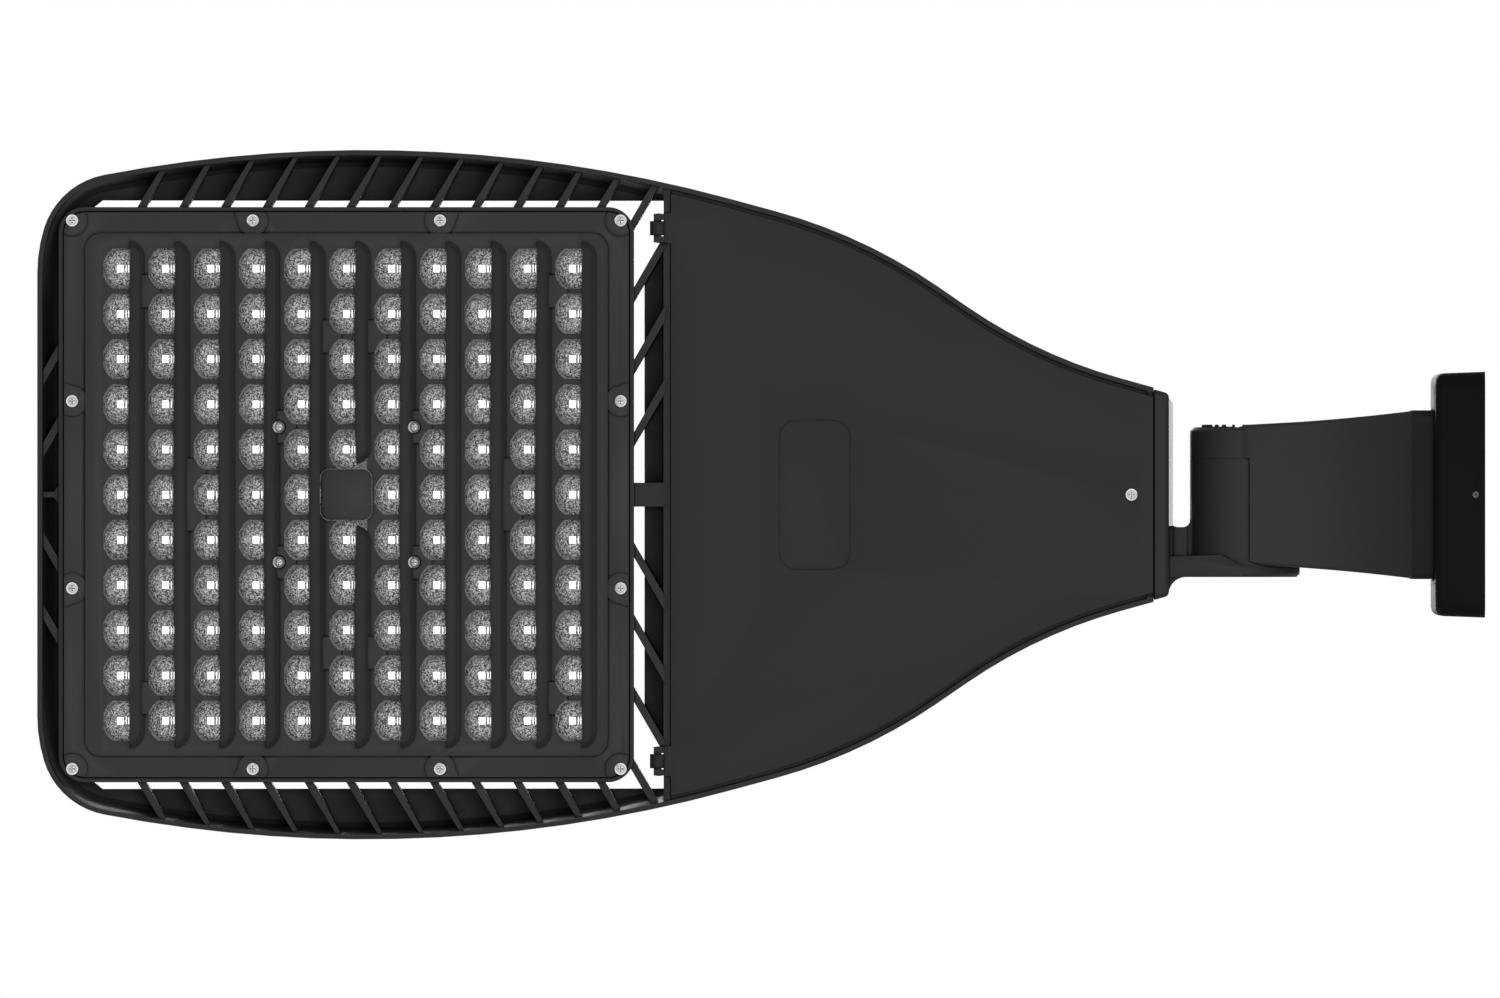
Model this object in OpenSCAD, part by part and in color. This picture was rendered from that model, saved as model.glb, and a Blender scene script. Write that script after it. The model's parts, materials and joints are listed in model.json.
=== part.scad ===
// Shoebox area light: a die-cast LED head with a hinged driver door, on a
// tilting knuckle arm with a pole plate. Millimetres.
// Origin: centre of the pole plate's mounting face. +X runs into the pole,
// +Z is up, the head reaches out towards -X and shines down.

/* [Head outline] */
// Distance from the pole face to the nose of the head
nose_reach = 723.2; // [721:0.1:725]
// Distance from the pole face to the back end of the head
head_end = 165; // [164:0.5:166]
// Half of the head's greatest width
half_w = 172.35; // [171:0.05:174]
// Radius of the long curve along each side
side_r = 694; // [680:1:710]
// Radius of the front corners, on the side's end
corner_r = 39; // [37:0.5:41]
// Radius of the front corners, on the nose's end
nose_r = 75.6; // [72:0.2:79]
// Turn of the side's curve ahead of its widest point, in degrees
side_front_turn = 10.86; // [10:0.02:12]
// Turn of the front corner where its two radii meet, in degrees
corner_turn = 72.8; // [70:0.2:75]
// Slope of the side behind its widest point, in degrees
side_back_turn = 15.2; // [14.8:0.1:15.6]
// Straight run before the shoulder
flank_run = 24; // [20:0.5:30]
// Radius of the shoulder
shoulder_r = 266; // [255:1:275]
// Steepest slope of the neck, in degrees
neck_turn = 34.5; // [34:0.1:35]
// Straight run at the steepest slope
neck_run = 18; // [15:0.5:21]
// Radius of the hollow curve of the neck
neck_r = 258; // [250:1:265]
// Slope of the neck at the back end, in degrees
tail_turn = 15.5; // [15:0.1:16]

/* [Head height] */
// Height of the rim's lower edge, seen from the pole plate's centre
rim_z = -34; // [-36:0.5:-32]
// Height of the crown at its highest point
crown_z = 42; // [38:0.5:46]
// Distance from the pole face to the crown's highest point
crown_reach = 400; // [380:1:420]
// Fall of the crown from there to the nose
nose_fall = 38; // [34:0.5:40]
// Fall of the crown from there to the back end
tail_fall = 14; // [12:0.5:16]
// Radius of the top edge, across the head
edge_run = 10; // [8:0.5:12]
// Radius of the top edge, in height
edge_rise = 12; // [10:0.5:14]
// Width of the rim's lower edge
rim_w = 2.4; // [2:0.1:3]

/* [Optic tray] */
// Distance from the pole face to the tray's centre
tray_reach = 568.6; // [568:0.1:569]
// Outside width of the square tray
tray_w = 287.6; // [287:0.1:288]
// Outer corner radius of the tray
tray_r = 13; // [12:0.5:14]
// Thickness of the tray's lip
lip_t = 2; // [1.8:0.1:2.2]
// Thickness of the tray's floor, which spreads the heat
floor_t = 6; // [5:0.5:7]
// Depth of the tray below its floor
tray_depth = 7.2; // [7:0.1:7.6]
// Fin spacing, along the head
fin_pitch = 20.88; // [20.7:0.02:21.1]
// Fin thickness
fin_t = 3.6; // [2.8:0.1:4]
// Fin thickness where it meets the rim
fin_tip_t = 1.8; // [1.6:0.1:2.4]
// Angle of the chevron fins to the head's length, in degrees
fin_turn = 60; // [58:1:62]

/* [Optics] */
// Lens spacing, both ways
lens_pitch = 22.6; // [22.5:0.1:22.7]
// Radius of each lens dome at its base
lens_r = 10.15; // [9.8:0.05:10.4]
// Height of each lens dome
lens_rise = 6; // [5:0.5:6.5]
// Shift of the lenses from the chips towards the pole
lens_shift = 1.6; // [1.2:0.1:2]
// Side of the square light shield that covers the optics
shield_w = 282.4; // [282:0.2:282.8]
// Height of each shield ridge
hood_rise = 6; // [5:0.5:7]
// Ridge: lens centre to its open edge
hood_near = 2.4; // [2:0.1:3]
// Ridge: lens centre to the end of its flat top
hood_top = 7.75; // [7.5:0.05:8]
// Ridge: lens centre to its foot
hood_foot = 10.4; // [10:0.1:10.8]
// Half of a ridge's length
hood_half = 126.8; // [126:0.2:128]

/* [Driver door] */
// Gap between the head's outline and the door
door_inset = 4.7; // [4.4:0.1:5]
// Thickness of the door's sheet
door_t = 2.3; // [2:0.1:2.4]
// Distance from the pole face to the door's front edge
door_front = 406.3; // [406:0.1:406.5]
// Distance from the pole face to the hinge pins' axis
hinge_reach = 412.4; // [412:0.1:412.8]
// Height of the hinge pins' axis
hinge_z = -26.8; // [-26.8:0.1:-26]
// Distance from the centre line to each hinge
hinge_y = 133.3; // [132:0.1:134]
// Radius of the hinge pins
pin_r = 1.25; // [1.2:0.05:1.4]
// Running clearance of the pins in the door's ears, on the radius
pin_fit = 0.05; // [0.03:0.01:0.08]

/* [Knuckle] */
// Distance from the pole face to the tilt axis
hub_reach = 120; // [119.5:0.1:120.5]
// Radius of the knuckle
hub_r = 26.5; // [26:0.1:27]
// Radius of the tilt bolt
bolt_r = 5; // [4:0.5:6]
// Running clearance of the tilt bolt in the arm, on the radius
bolt_fit = 0.05; // [0.03:0.01:0.08]
// Gap round the knuckle's barrel
turn_gap = 0.3; // [0.3:0.05:0.5]
// Running clearance between the knuckle's flat faces
face_gap = 0.06; // [0.05:0.01:0.1]

/* [Arm and pole plate] */
// Half of the arm flange's width
flange_half_y = 42.2; // [40:0.1:44]
// Half of the arm flange's height
flange_half_z = 52; // [50:0.5:54]
// Thickness of the arm's flange
flange_t = 11.2; // [10:0.2:12]
// Depth of the pole plate's box
plate_depth = 24.7; // [24:0.1:26]
// Half of the pole plate's width at the pole
plate_half_y = 61.4; // [60:0.2:63]
// Half of the pole plate's height at the pole
plate_half_z = 81.2; // [80:0.2:84]
// Distance between the two pole bolts
pole_bolt_pitch = 101.6; // [88.9, 101.6]
// Radius of the pole bolts' holes
pole_bolt_r = 5.5; // [5:0.25:6]
// Radius of the wire opening in the pole bracket's bushing
wire_r = 11; // [9:0.5:12]

/* [Hidden] */
$fn = 48;
eps = 0.01;
cut = 1;                                   // how far a cutting tool runs past a face

// ---------------------------------------------------------------- outline
function turn_n(a) = [sin(a), cos(a)];     // outward normal where the outline heads a below +X
function turn_h(a) = [cos(a), -sin(a)];    // heading of the outline there
function outline_arc(c, r, a0, a1, n) =
    [for (i = [0:n]) let (a = a0 + (a1 - a0) * i / n) concat(c + r * turn_n(a), [a])];
function outline_hollow(c, r, a0, a1, n) =
    [for (i = [0:n]) let (a = a0 + (a1 - a0) * i / n) concat(c - r * turn_n(a), [a])];

corner_off = (side_r - corner_r) * turn_n(-side_front_turn);
nose_off = corner_off + (corner_r - nose_r) * turn_n(-corner_turn);
side_c = [-nose_reach + nose_r - nose_off.x, half_w - side_r];
corner_c = side_c + corner_off;
nose_c = side_c + nose_off;
flank_end = side_c + side_r * turn_n(side_back_turn) + flank_run * turn_h(side_back_turn);
shoulder_c = flank_end - shoulder_r * turn_n(side_back_turn);
neck_end = shoulder_c + shoulder_r * turn_n(neck_turn) + neck_run * turn_h(neck_turn);
neck_c = neck_end + neck_r * turn_n(neck_turn);
tail_start = neck_c - neck_r * turn_n(tail_turn);
function tail_pt(x) = [x, tail_start.y - (x - tail_start.x) * tan(tail_turn), tail_turn];

// Half outline from the nose to x = x_end, as [x, y, slope]
function half_outline(x_end) = concat(
    outline_arc(nose_c, nose_r, -90, -corner_turn, 3),
    [for (i = [1:9]) outline_arc(corner_c, corner_r, -corner_turn, -side_front_turn, 9)[i]],
    [for (i = [1:15]) outline_arc(side_c, side_r, -side_front_turn, side_back_turn, 15)[i]],
    outline_arc(shoulder_c, shoulder_r, side_back_turn, neck_turn, 7),
    outline_hollow(neck_c, neck_r, neck_turn, tail_turn, 7),
    [tail_pt(x_end)]
);
// A point of the outline moved inwards by d
function inset(p, d) = p[2] <= 0
    ? [p.x - d * sin(p[2]), p.y - d * cos(p[2])]
    : [p.x, p.y - d / cos(p[2])];
function mirrored(pts) = concat(pts, [for (i = [len(pts) - 1:-1:0]) [pts[i].x, -pts[i].y]]);

// Whole plan of the head, moved inwards by d
module head_plan(d) {
    polygon(mirrored([for (p = half_outline(-head_end)) inset(p, d)]));
}

// Plan of the driver bay between x0 and x1, moved inwards by d
bay_edge = half_outline(-head_end);
function bay_width(x, d) = lookup(x, [for (p = bay_edge) if (p[2] > 0) inset(p, d)]);
module bay_plan(d, x0, x1) {
    inner = [for (p = bay_edge) if (p[2] > 0 && p.x > x0 && p.x < x1) inset(p, d)];
    polygon(mirrored(concat([[x0, bay_width(x0, d)]], inner, [[x1, bay_width(x1, d)]])));
}

// ---------------------------------------------------------------- heights
function crown_r(length, fall) = (length * length + fall * fall) / (2 * fall);
nose_crown_r = crown_r(nose_reach - crown_reach, nose_fall);
tail_crown_r = crown_r(crown_reach - head_end, tail_fall);
function top_z(x) = let (
    dx = x + crown_reach,
    r = dx < 0 ? nose_crown_r : tail_crown_r
) crown_z - (r - sqrt(r * r - dx * dx));

// Everything lower than the crown by at least drop
module under_crown(drop, z_low) {
    steps = 24;
    x0 = -nose_reach - cut;
    x1 = -head_end + cut;
    roof = [for (i = [0:steps]) let (x = x0 + (x1 - x0) * i / steps) [x, top_z(x) - drop]];
    rotate([90, 0, 0])
        translate([0, 0, -half_w - cut])
            linear_extrude(2 * (half_w + cut))
                polygon(concat([[x0, z_low]], roof, [[x1, z_low]]));
}

// ---------------------------------------------------------------- shell
shell_wall = 3.2;
floor_z = rim_z + tray_depth;              // underside of the tray's floor
tray_top = floor_z + floor_t;
wall_foot_z = rim_z + door_t + 0.6;        // lower edge of the bay's end walls
roof_drop = 1.2;
ledge_z = rim_z + 7;                       // the door's gasket sits under this ledge

// Outer rings: [inset, measured from the crown?, height]
outer_rings = concat(
    [[0.3, false, rim_z], [0, false, rim_z + 0.7], [0.8, true, 3 + edge_rise]],
    [for (a = [30, 60, 90])
        [0.8 + edge_run * (1 - cos(a)), true, 3 + edge_rise * (1 - sin(a))]],
    [[22, true, roof_drop], [34, true, roof_drop / 2]]
);
inner_rings = [
    [rim_w, false, rim_z], [4, true, 24], [5.6, true, 9.5], [8, true, 6.4],
    [20, true, 4.6], [34, true, 4]
];
function ring(pts, spec) = let (
    half = [for (p = pts) let (q = inset(p, spec[0]))
        [q.x, q.y, spec[1] ? top_z(q.x) - spec[2] : spec[2]]]
) concat(half, [for (i = [len(half) - 1:-1:0]) [half[i].x, -half[i].y, half[i].z]]);

module shell() {
    outer_pts = half_outline(-head_end);
    inner_pts = half_outline(-head_end - shell_wall);
    rings = concat(
        [for (i = [len(inner_rings) - 1:-1:0]) ring(inner_pts, inner_rings[i])],
        [for (s = outer_rings) ring(outer_pts, s)]
    );
    m = len(outer_pts);
    n = 2 * m;
    last = (len(rings) - 1) * n;
    sides = [for (k = [0:len(rings) - 2]) for (i = [0:n - 1]) for (t = [0, 1])
        let (a = k * n + i, b = k * n + (i + 1) % n)
            t == 0 ? [a, b, b + n] : [a, b + n, a + n]];
    inner_cap = [for (i = [0:m - 2]) [i + 1, i, n - 1 - i, n - 2 - i]];
    outer_cap = [for (i = [0:m - 2]) [last + i, last + i + 1, last + n - 2 - i, last + n - 1 - i]];
    polyhedron([for (r = rings) for (p = r) p], concat(sides, inner_cap, outer_cap), convexity = 6);
}

// Open window in the roof, above the fins
window_half_y = 147.4;
window_front = 700;
window_back = 419.75;
bay_wall_x = -410;                         // outside face of the bay's front wall
bay_wall_t = 3.3;
module window_plan() {
    chamfer = 9;
    notch_y = 120;                         // the window runs on to the bay wall beyond this
    half = [
        [-window_front, window_half_y - 0.8 * chamfer],
        [-window_front + chamfer, window_half_y],
        [bay_wall_x, window_half_y],
        [bay_wall_x, notch_y + 5.5],
        [-window_back, notch_y - 11.5]
    ];
    polygon(mirrored(half));
}

// Chevron fins in plan, their points towards the nose
fin_count = 16;
fin_x0 = -671.3;                           // first fin's place at the tray's side
fin_y0 = 143.3;
function fin_x(k, y) = fin_x0 + k * fin_pitch + (y - fin_y0) / tan(fin_turn);
module fins_plan() {
    w = fin_t / 2 / sin(fin_turn);
    tip = fin_tip_t / 2 / sin(fin_turn);
    for (k = [0:fin_count - 1]) for (s = [0, 1]) mirror([0, s, 0])
        polygon([
            [fin_x(k, -cut) - w, -cut], [fin_x(k, window_half_y) - w, window_half_y],
            [fin_x(k, half_w) - tip, half_w], [fin_x(k, half_w) + tip, half_w],
            [fin_x(k, window_half_y) + w, window_half_y], [fin_x(k, -cut) + w, -cut]
        ]);
    spine_t = 2.7;
    translate([-nose_reach, -spine_t / 2]) square([nose_reach + bay_wall_x, spine_t]);
    // Where the spine meets the tray at the nose it spreads
    tray_front = -tray_reach - tray_w / 2;
    polygon([
        [tray_front - 2.6, -spine_t / 2], [tray_front + cut, -spine_t / 2 - 4.5],
        [tray_front + cut, spine_t / 2 + 4.5], [tray_front - 2.6, spine_t / 2]
    ]);
    // The bridge between tray and driver bay carries the wires
    bridge_t = 12;
    translate([harness_x - 7, -bridge_t / 2]) square([bay_wall_x + cut - harness_x + 7, bridge_t]);
}
module fins() {
    foot_z = rim_z + 2.5;
    reach = [[1.4, 16], [9, 4]];           // inset from the outline, depth below the crown
    for (r = reach)
        intersection() {
            translate([0, 0, foot_z]) linear_extrude(crown_z - foot_z) intersection() {
                fins_plan();
                head_plan(r[0]);
                translate([-nose_reach, -half_w])
                    square([nose_reach + bay_wall_x + cut, 2 * half_w]);
            }
            under_crown(r[1], foot_z - cut);
        }
}

module round_square(w, r) {
    for (i = [0, 1])
        square([w - 2 * r * i, w - 2 * r * (1 - i)], center = true);
    for (x = [-1, 1]) for (y = [-1, 1]) translate([x, y] * (w / 2 - r)) circle(r);
}
module at_tray(z) { translate([-tray_reach, 0, z]) children(); }
module tray_prism(grow, z0, z1) {
    at_tray(z0) linear_extrude(z1 - z0) round_square(tray_w + 2 * grow, tray_r + grow);
}

// Screw places of the light shield, from the tray's centre
shield_far = 137.1;
shield_near = 46.8;
edge_screws = [for (a = [-1, 1]) for (b = [-1, 1]) for (p = [
    [shield_far, shield_far], [shield_far, shield_near], [shield_near, shield_far]
]) [a * p.x, b * p.y]];
inner_screw = 33.8;
inner_screws = [for (a = [-1, 1]) for (b = [-1, 1]) [a, b] * inner_screw];
screw_r = 2;                               // shank of the shield screws
module at_screws(places, z) { for (p = places) at_tray(z) translate(p) children(); }

// Hinge lug in the middle of each hinge, on the bay's front wall
hinge = [-hinge_reach, 0, hinge_z];
lug_w = 7.1;
lug_r = 4.45;
ear_w = 3.1;
ear_r = 2.6;
ear_room_r = 3.4;
ear_room = 0.3;
ear_off = 5.6;                             // middle of each door ear from the hinge's middle
module along_y(y, length, r) {
    translate([0, y + length, 0]) rotate([90, 0, 0]) cylinder(h = length, r = r);
}
module hinge_lugs() {
    for (s = [-1, 1]) translate(hinge + [0, s * hinge_y, 0]) {
        along_y(-lug_w / 2, lug_w, lug_r);
        translate([-lug_r, -lug_w / 2, 0]) cube([hinge_reach + bay_wall_x + lug_r + cut, lug_w, 9]);
        translate([0, -lug_w / 2, -lug_r + 0.05])
            cube([hinge_reach + bay_wall_x + cut / 2, lug_w, lug_r]);
        // Web above the ears, which closes the view through the gaps beside them
        translate([-ear_r, -ear_off - ear_w / 2, ear_room_r + 1]) cube([3.7, 2 * ear_off + ear_w, 4]);
    }
}

harness_x = -440;                          // the wires leave the tray here
harness_z = -3;
wire_way_r = 4;
driver_w = 150;
driver_d = 67;
driver_h = 37;
driver_front_x = -397;
driver_rear_x = -323;
driver_top = 30;
driver_flange_t = 3;
driver_screw_off = 69;                     // screws from the driver's middle, across the head
door_screw_x = -176;
surge_at = [-234, 0, 27];
terminal_at = [-200, -24, 25];
ground_at = [-206, 32];
boss_r = 5;

module bay_bosses() {
    intersection() {
        union() {
            for (x = [driver_front_x, driver_rear_x]) for (s = [-1, 1])
                translate([x + driver_d / 2, s * driver_screw_off, driver_top])
                    cylinder(h = 20, r = boss_r);
            translate([door_screw_x, 0, ledge_z]) cylinder(h = 80, r = 6.5);
            translate([door_screw_x, -6.5, ledge_z])
                cube([-head_end - shell_wall + cut - door_screw_x, 13, 80]);
            translate([surge_at.x - 22, -14, surge_at.z]) cube([44, 28, 20]);
            translate([terminal_at.x - 9, terminal_at.y - 16, terminal_at.z]) cube([18, 32, 20]);
            translate([ground_at.x, ground_at.y, 22]) cylinder(h = 20, r = boss_r);
        }
        under_crown(2.5, rim_z);
    }
}

port = [26.5, 0];                          // wire port through the bracket: y and z
port_r = 7.5;
bracket_bolt_y = 40;
bracket_bolt_z = 15;
bracket_bolt_r = 3;
bracket_mid_z = -3;                        // middle of the bracket's plate
bracket_bolt_places = [for (a = [-1, 1]) for (b = [-1, 1])
    [a * bracket_bolt_y, bracket_mid_z + b * bracket_bolt_z]];
module along_x(x, length, y, z, r) {
    translate([x, y, z]) rotate([0, 90, 0]) cylinder(h = length, r = r);
}

module housing() {
    ledge_t = 3;
    bay_in = bay_wall_x + bay_wall_t;
    color([0.21, 0.2, 0.2]) difference() {
        union() {
            difference() {
                shell();
                translate([0, 0, rim_z + 5]) linear_extrude(crown_z - rim_z) window_plan();
            }
            difference() {
                fins();
                tray_prism(-lip_t / 2, rim_z - cut, tray_top - floor_t / 2);
            }
            difference() {
                tray_prism(0, rim_z, tray_top);
                tray_prism(-lip_t, rim_z - cut, floor_z);
            }
            intersection() {
                translate([bay_wall_x, -half_w, wall_foot_z])
                    cube([bay_wall_t, 2 * half_w, crown_z - wall_foot_z]);
                linear_extrude(2 * crown_z, center = true) head_plan(1.4);
                under_crown(14, rim_z);
            }
            intersection() {
                translate([bay_wall_x, -half_w, 0]) cube([bay_wall_t, 2 * half_w, crown_z]);
                linear_extrude(crown_z) head_plan(10);
                under_crown(4, -cut);
            }
            translate([0, 0, ledge_z]) linear_extrude(ledge_t) difference() {
                bay_plan(2, bay_in - cut, -head_end - 1);
                bay_plan(16, bay_in + 8, -head_end - shell_wall - 7);
            }
            bay_bosses();
            hinge_lugs();
        }
        // The door runs under the back end wall and the ledge's front edge
        translate([-head_end - shell_wall - cut, 0, rim_z - cut])
            linear_extrude(wall_foot_z - rim_z + cut) translate([0, -bay_width(-head_end, rim_w)])
                square([shell_wall + 2 * cut, 2 * bay_width(-head_end, rim_w)]);
        at_screws(concat(edge_screws, inner_screws), floor_z - cut) cylinder(h = 5.5, r = screw_r);
        for (s = [-1, 1]) translate(hinge + [0, s * hinge_y, 0]) {
            along_y(-lug_w, 2 * lug_w, pin_r);
            // Room for the door's ears to turn
            for (e = [-1, 1]) translate([0, e * ear_off - ear_w / 2 - ear_room, 0]) {
                along_y(0, ear_w + 2 * ear_room, ear_room_r);
                translate([0, 0, -10]) cube([ear_room_r, ear_w + 2 * ear_room, 10]);
            }
        }
        translate([harness_x, 0, floor_z - cut]) cylinder(h = harness_z - floor_z + 3 * cut, r = wire_way_r);
        along_x(harness_x, bay_in + cut - harness_x, 0, harness_z, wire_way_r);
        translate([door_screw_x, 0, rim_z]) cylinder(h = 26, r = 3.4);
        for (x = [driver_front_x, driver_rear_x]) for (s = [-1, 1])
            translate([x + driver_d / 2, s * driver_screw_off, driver_top - cut])
                cylinder(h = 8, r = screw_r);
        translate([ground_at.x, ground_at.y, 21]) cylinder(h = 7, r = screw_r);
        for (p = bracket_bolt_places)
            along_x(-head_end - shell_wall - 9, 12 + shell_wall, p.x, p.y, bracket_bolt_r + 0.3);
        along_x(-head_end - shell_wall - 9, 12 + shell_wall, port.x, port.y, port_r);
    }
}

// ---------------------------------------------------------------- door
door_back = head_end + 0.4;
tongue_end = 409.5;
module driver_door() {
    tongue_half = 7.45;
    rib_h = 5;
    logo_x = -334.5;                       // plain recessed panel in the door's outside
    color([0.2, 0.19, 0.2]) difference() {
        union() {
            translate([0, 0, rim_z]) linear_extrude(door_t)
                bay_plan(door_inset, -door_front, -door_back);
            translate([0, 0, rim_z + door_t - eps]) linear_extrude(rib_h) difference() {
                bay_plan(20, -door_front + 14, -door_back - 22);
                bay_plan(22.5, -door_front + 16.5, -door_back - 24.5);
            }
            for (s = [-1, 1]) translate([0, s * hinge_y, 0]) {
                translate([-tongue_end, -tongue_half, rim_z])
                    cube([tongue_end - door_front + cut, 2 * tongue_half, door_t]);
                for (e = [-1, 1]) translate([-hinge_reach, e * ear_off - ear_w / 2, 0]) {
                    translate([0, 0, hinge_z]) along_y(0, ear_w, ear_r);
                    intersection() {
                        union() {
                            translate([-ear_r, 0, rim_z]) cube([2 * ear_r, ear_w, hinge_z - rim_z]);
                            translate([-ear_r, 0, rim_z]) cube([2 * ear_r + 1.5, ear_w, door_t]);
                        }
                        translate([0, 0, hinge_z]) along_y(0, ear_w, 7.6);
                    }
                }
            }
            translate([door_screw_x, 0, rim_z]) cylinder(h = door_t + 1.5, r = 3.6);
        }
        translate([door_screw_x, 0, rim_z - cut]) cylinder(h = 8, r = 2.7);
        for (s = [-1, 1]) translate([-hinge_reach, s * hinge_y, hinge_z])
            along_y(-9, 18, pin_r + pin_fit);
        translate([logo_x, 0, rim_z - cut]) linear_extrude(cut + 0.5) {
            for (i = [0, 1]) square([36 - 18 * i, 75 - 18 * (1 - i)], center = true);
            for (x = [-9, 9]) for (y = [-28.5, 28.5]) translate([x, y]) circle(9);
        }
    }
}

module door_gasket() {
    gap = 0.2;                             // left above the door's sheet
    z0 = rim_z + door_t + gap;
    color([0.08, 0.08, 0.08]) translate([0, 0, z0]) linear_extrude(ledge_z - z0) difference() {
        bay_plan(8, bay_wall_x + bay_wall_t + 1, -head_end - shell_wall - 1);
        bay_plan(12, bay_wall_x + bay_wall_t + 5, -head_end - shell_wall - 4);
    }
}

module hinge_pins() {
    color([0.3, 0.3, 0.3]) for (s = [-1, 1]) translate([-hinge_reach, s * hinge_y, hinge_z])
        along_y(-7.4, 14.8, pin_r);
}

head_r = 3.05;                             // pan heads of the shield's, door's and drivers' screws
head_h = 2;
// Pan head screw with a cross recess: the head's underside at z = 0, head downwards
module pan_screw(r, length, size = 1) {
    recess = 0.9;
    big_r = head_r * size;
    high = head_h * size;
    difference() {
        union() {
            translate([0, 0, -high * 0.55]) cylinder(h = high * 0.55, r = big_r);
            translate([0, 0, -high]) cylinder(h = high * 0.45 + eps, r1 = big_r * 0.72, r2 = big_r);
            cylinder(h = length, r = r);
        }
        for (a = [0, 90]) rotate(a)
            translate([-big_r * 0.6, -recess / 2, -high - cut])
                cube([big_r * 1.2, recess, cut + high * 0.6]);
    }
}
module door_screw() {
    color([0.72, 0.72, 0.7]) translate([door_screw_x, 0, rim_z])
        pan_screw(2.45, 20);
}
module screw_retainer() {
    color([0.1, 0.1, 0.1]) translate([door_screw_x, 0, rim_z + door_t + 1.6]) difference() {
        cylinder(h = 0.8, r = 3.3);
        translate([0, 0, -cut]) cylinder(h = 3, r = 2.45);
    }
}

// ---------------------------------------------------------------- optics
board_t = 1.6;
board_w = 266;
chip = [5, 5, 1];
lens_top = floor_z - 3.1;                  // upper face of the lens plate
lens_t = 2.5;
lens_low = lens_top - lens_t;
optic_w = 281.5;
grid = 5;                                  // lenses each side of the middle one
lens_places = [for (i = [-grid:grid]) for (j = [-grid:grid])
    if (abs(i) + abs(j) > 0) [i, j] * lens_pitch];

module led_board() {
    color([0.85, 0.86, 0.84]) difference() {
        at_tray(floor_z - board_t) linear_extrude(board_t) round_square(board_w, 6);
        at_screws(inner_screws, floor_z - 3) cylinder(h = 5, r = screw_r + 1.2);
        translate([harness_x, 0, floor_z - 3]) cylinder(h = 5, r = wire_bundle_r + 0.3);
    }
}
module led_chips() {
    color([0.95, 0.9, 0.6]) for (p = lens_places)
        at_tray(floor_z - board_t - chip.z) translate([p.x - chip.x / 2, p.y - chip.y / 2, 0]) cube(chip);
}
module lens_gasket() {
    color([0.1, 0.1, 0.1]) at_tray(lens_top) linear_extrude(floor_z - lens_top) difference() {
        round_square(optic_w, 9.5);
        round_square(board_w + 0.6, 6.3);
        for (p = edge_screws) translate(p) circle(screw_r + 0.3);
    }
}
module lens_plate() {
    dome_r = (lens_r * lens_r + lens_rise * lens_rise) / (2 * lens_rise);
    color([0.8, 0.85, 0.87, 0.5]) difference() {
        union() {
            at_tray(lens_low) linear_extrude(lens_t) round_square(optic_w, 9.5);
            for (p = lens_places)
                at_tray(lens_low) translate([p.x + lens_shift, p.y, 0]) intersection() {
                    translate([0, 0, dome_r - lens_rise]) sphere(dome_r);
                    translate([-lens_r, -lens_r, -lens_rise - cut])
                        cube([2 * lens_r, 2 * lens_r, lens_rise + cut + 0.5]);
                }
        }
        at_screws(concat(edge_screws, inner_screws), lens_low - cut)
            cylinder(h = lens_t + 2 * cut, r = screw_r + 0.3);
        at_tray(lens_low - 8) linear_extrude(8) square(cap_hole, center = true);
    }
}

shield_t = 2;
shield_low = lens_low - 0.2 - shield_t;    // lower face of the shield's border
field_step = 1.2;                          // the field lies this much lower
field_low = shield_low - field_step;
pad_r = 7.5;
cap_w = 25;
cap_r = 4.5;
cap_gap = 0.7;                             // between the cap and the edges round it
cap_hole = cap_w + 2 * cap_gap;
hood_wall = 1.2;
opening_half = 10.1;
hood_slope = (hood_foot - hood_top) / hood_rise;
opening_right = hood_foot - hood_wall * 1.2;
module lens_opening() {
    far = 10.1;
    corner = [4.6, 6.2];
    mid = [2.1, 2.3];                      // a point that rounds each corner towards the dome's edge
    half = [
        [-far, opening_half - corner.y], [-far + mid.x, opening_half - mid.y],
        [-far + corner.x, opening_half], [opening_right, opening_half]
    ];
    polygon(mirrored(half));
}
// The opening widens under the ridge, along the ridge's slope
module opening_slope() {
    rise = shield_t + field_step + 0.5;
    polygon([[0, 0], [opening_right, 0], [opening_right + rise * hood_slope, -rise], [0, -rise]]);
}
// Cross-section of a ridge: x from its open edge, y downwards from the field
hood_end_r = hood_foot - hood_near;
module hood_section() {
    flat_end = hood_top - hood_near;
    inner_foot = opening_right - hood_near;
    inner_top = inner_foot - (hood_rise - hood_wall) * hood_slope;
    polygon([
        [0, hood_rise], [flat_end, hood_rise], [hood_end_r, 0], [inner_foot, 0],
        [inner_top, hood_rise - hood_wall], [0, hood_rise - hood_wall]
    ]);
}
module hood_run(y0, y1) {
    translate([0, y1, 0]) rotate([90, 0, 0]) linear_extrude(y1 - y0) mirror([0, 1, 0]) children();
}
// A ridge from y0 to y1: rounded ends, and an open edge that draws back towards them
module hood(y0, y1) {
    bow = 1.1;
    steps = 8;
    edge = [for (i = [0:steps]) let (t = 2 * i / steps - 1)
        [hood_near + bow * t * t, (y0 + y1) / 2 + t * (y1 - y0) / 2]];
    intersection() {
        translate([hood_near, 0, 0]) {
            hood_run(y0 + hood_end_r, y1 - hood_end_r) hood_section();
            translate([0, y1 - hood_end_r, 0])
                rotate_extrude(angle = 90) mirror([0, 1, 0]) hood_section();
            translate([0, y0 + hood_end_r, 0]) rotate(-90)
                rotate_extrude(angle = 90) mirror([0, 1, 0]) hood_section();
        }
        translate([0, 0, -hood_rise - cut]) linear_extrude(hood_rise + 2 * cut)
            polygon(concat(edge, [[hood_foot + cut, y1], [hood_foot + cut, y0]]));
    }
}
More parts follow.
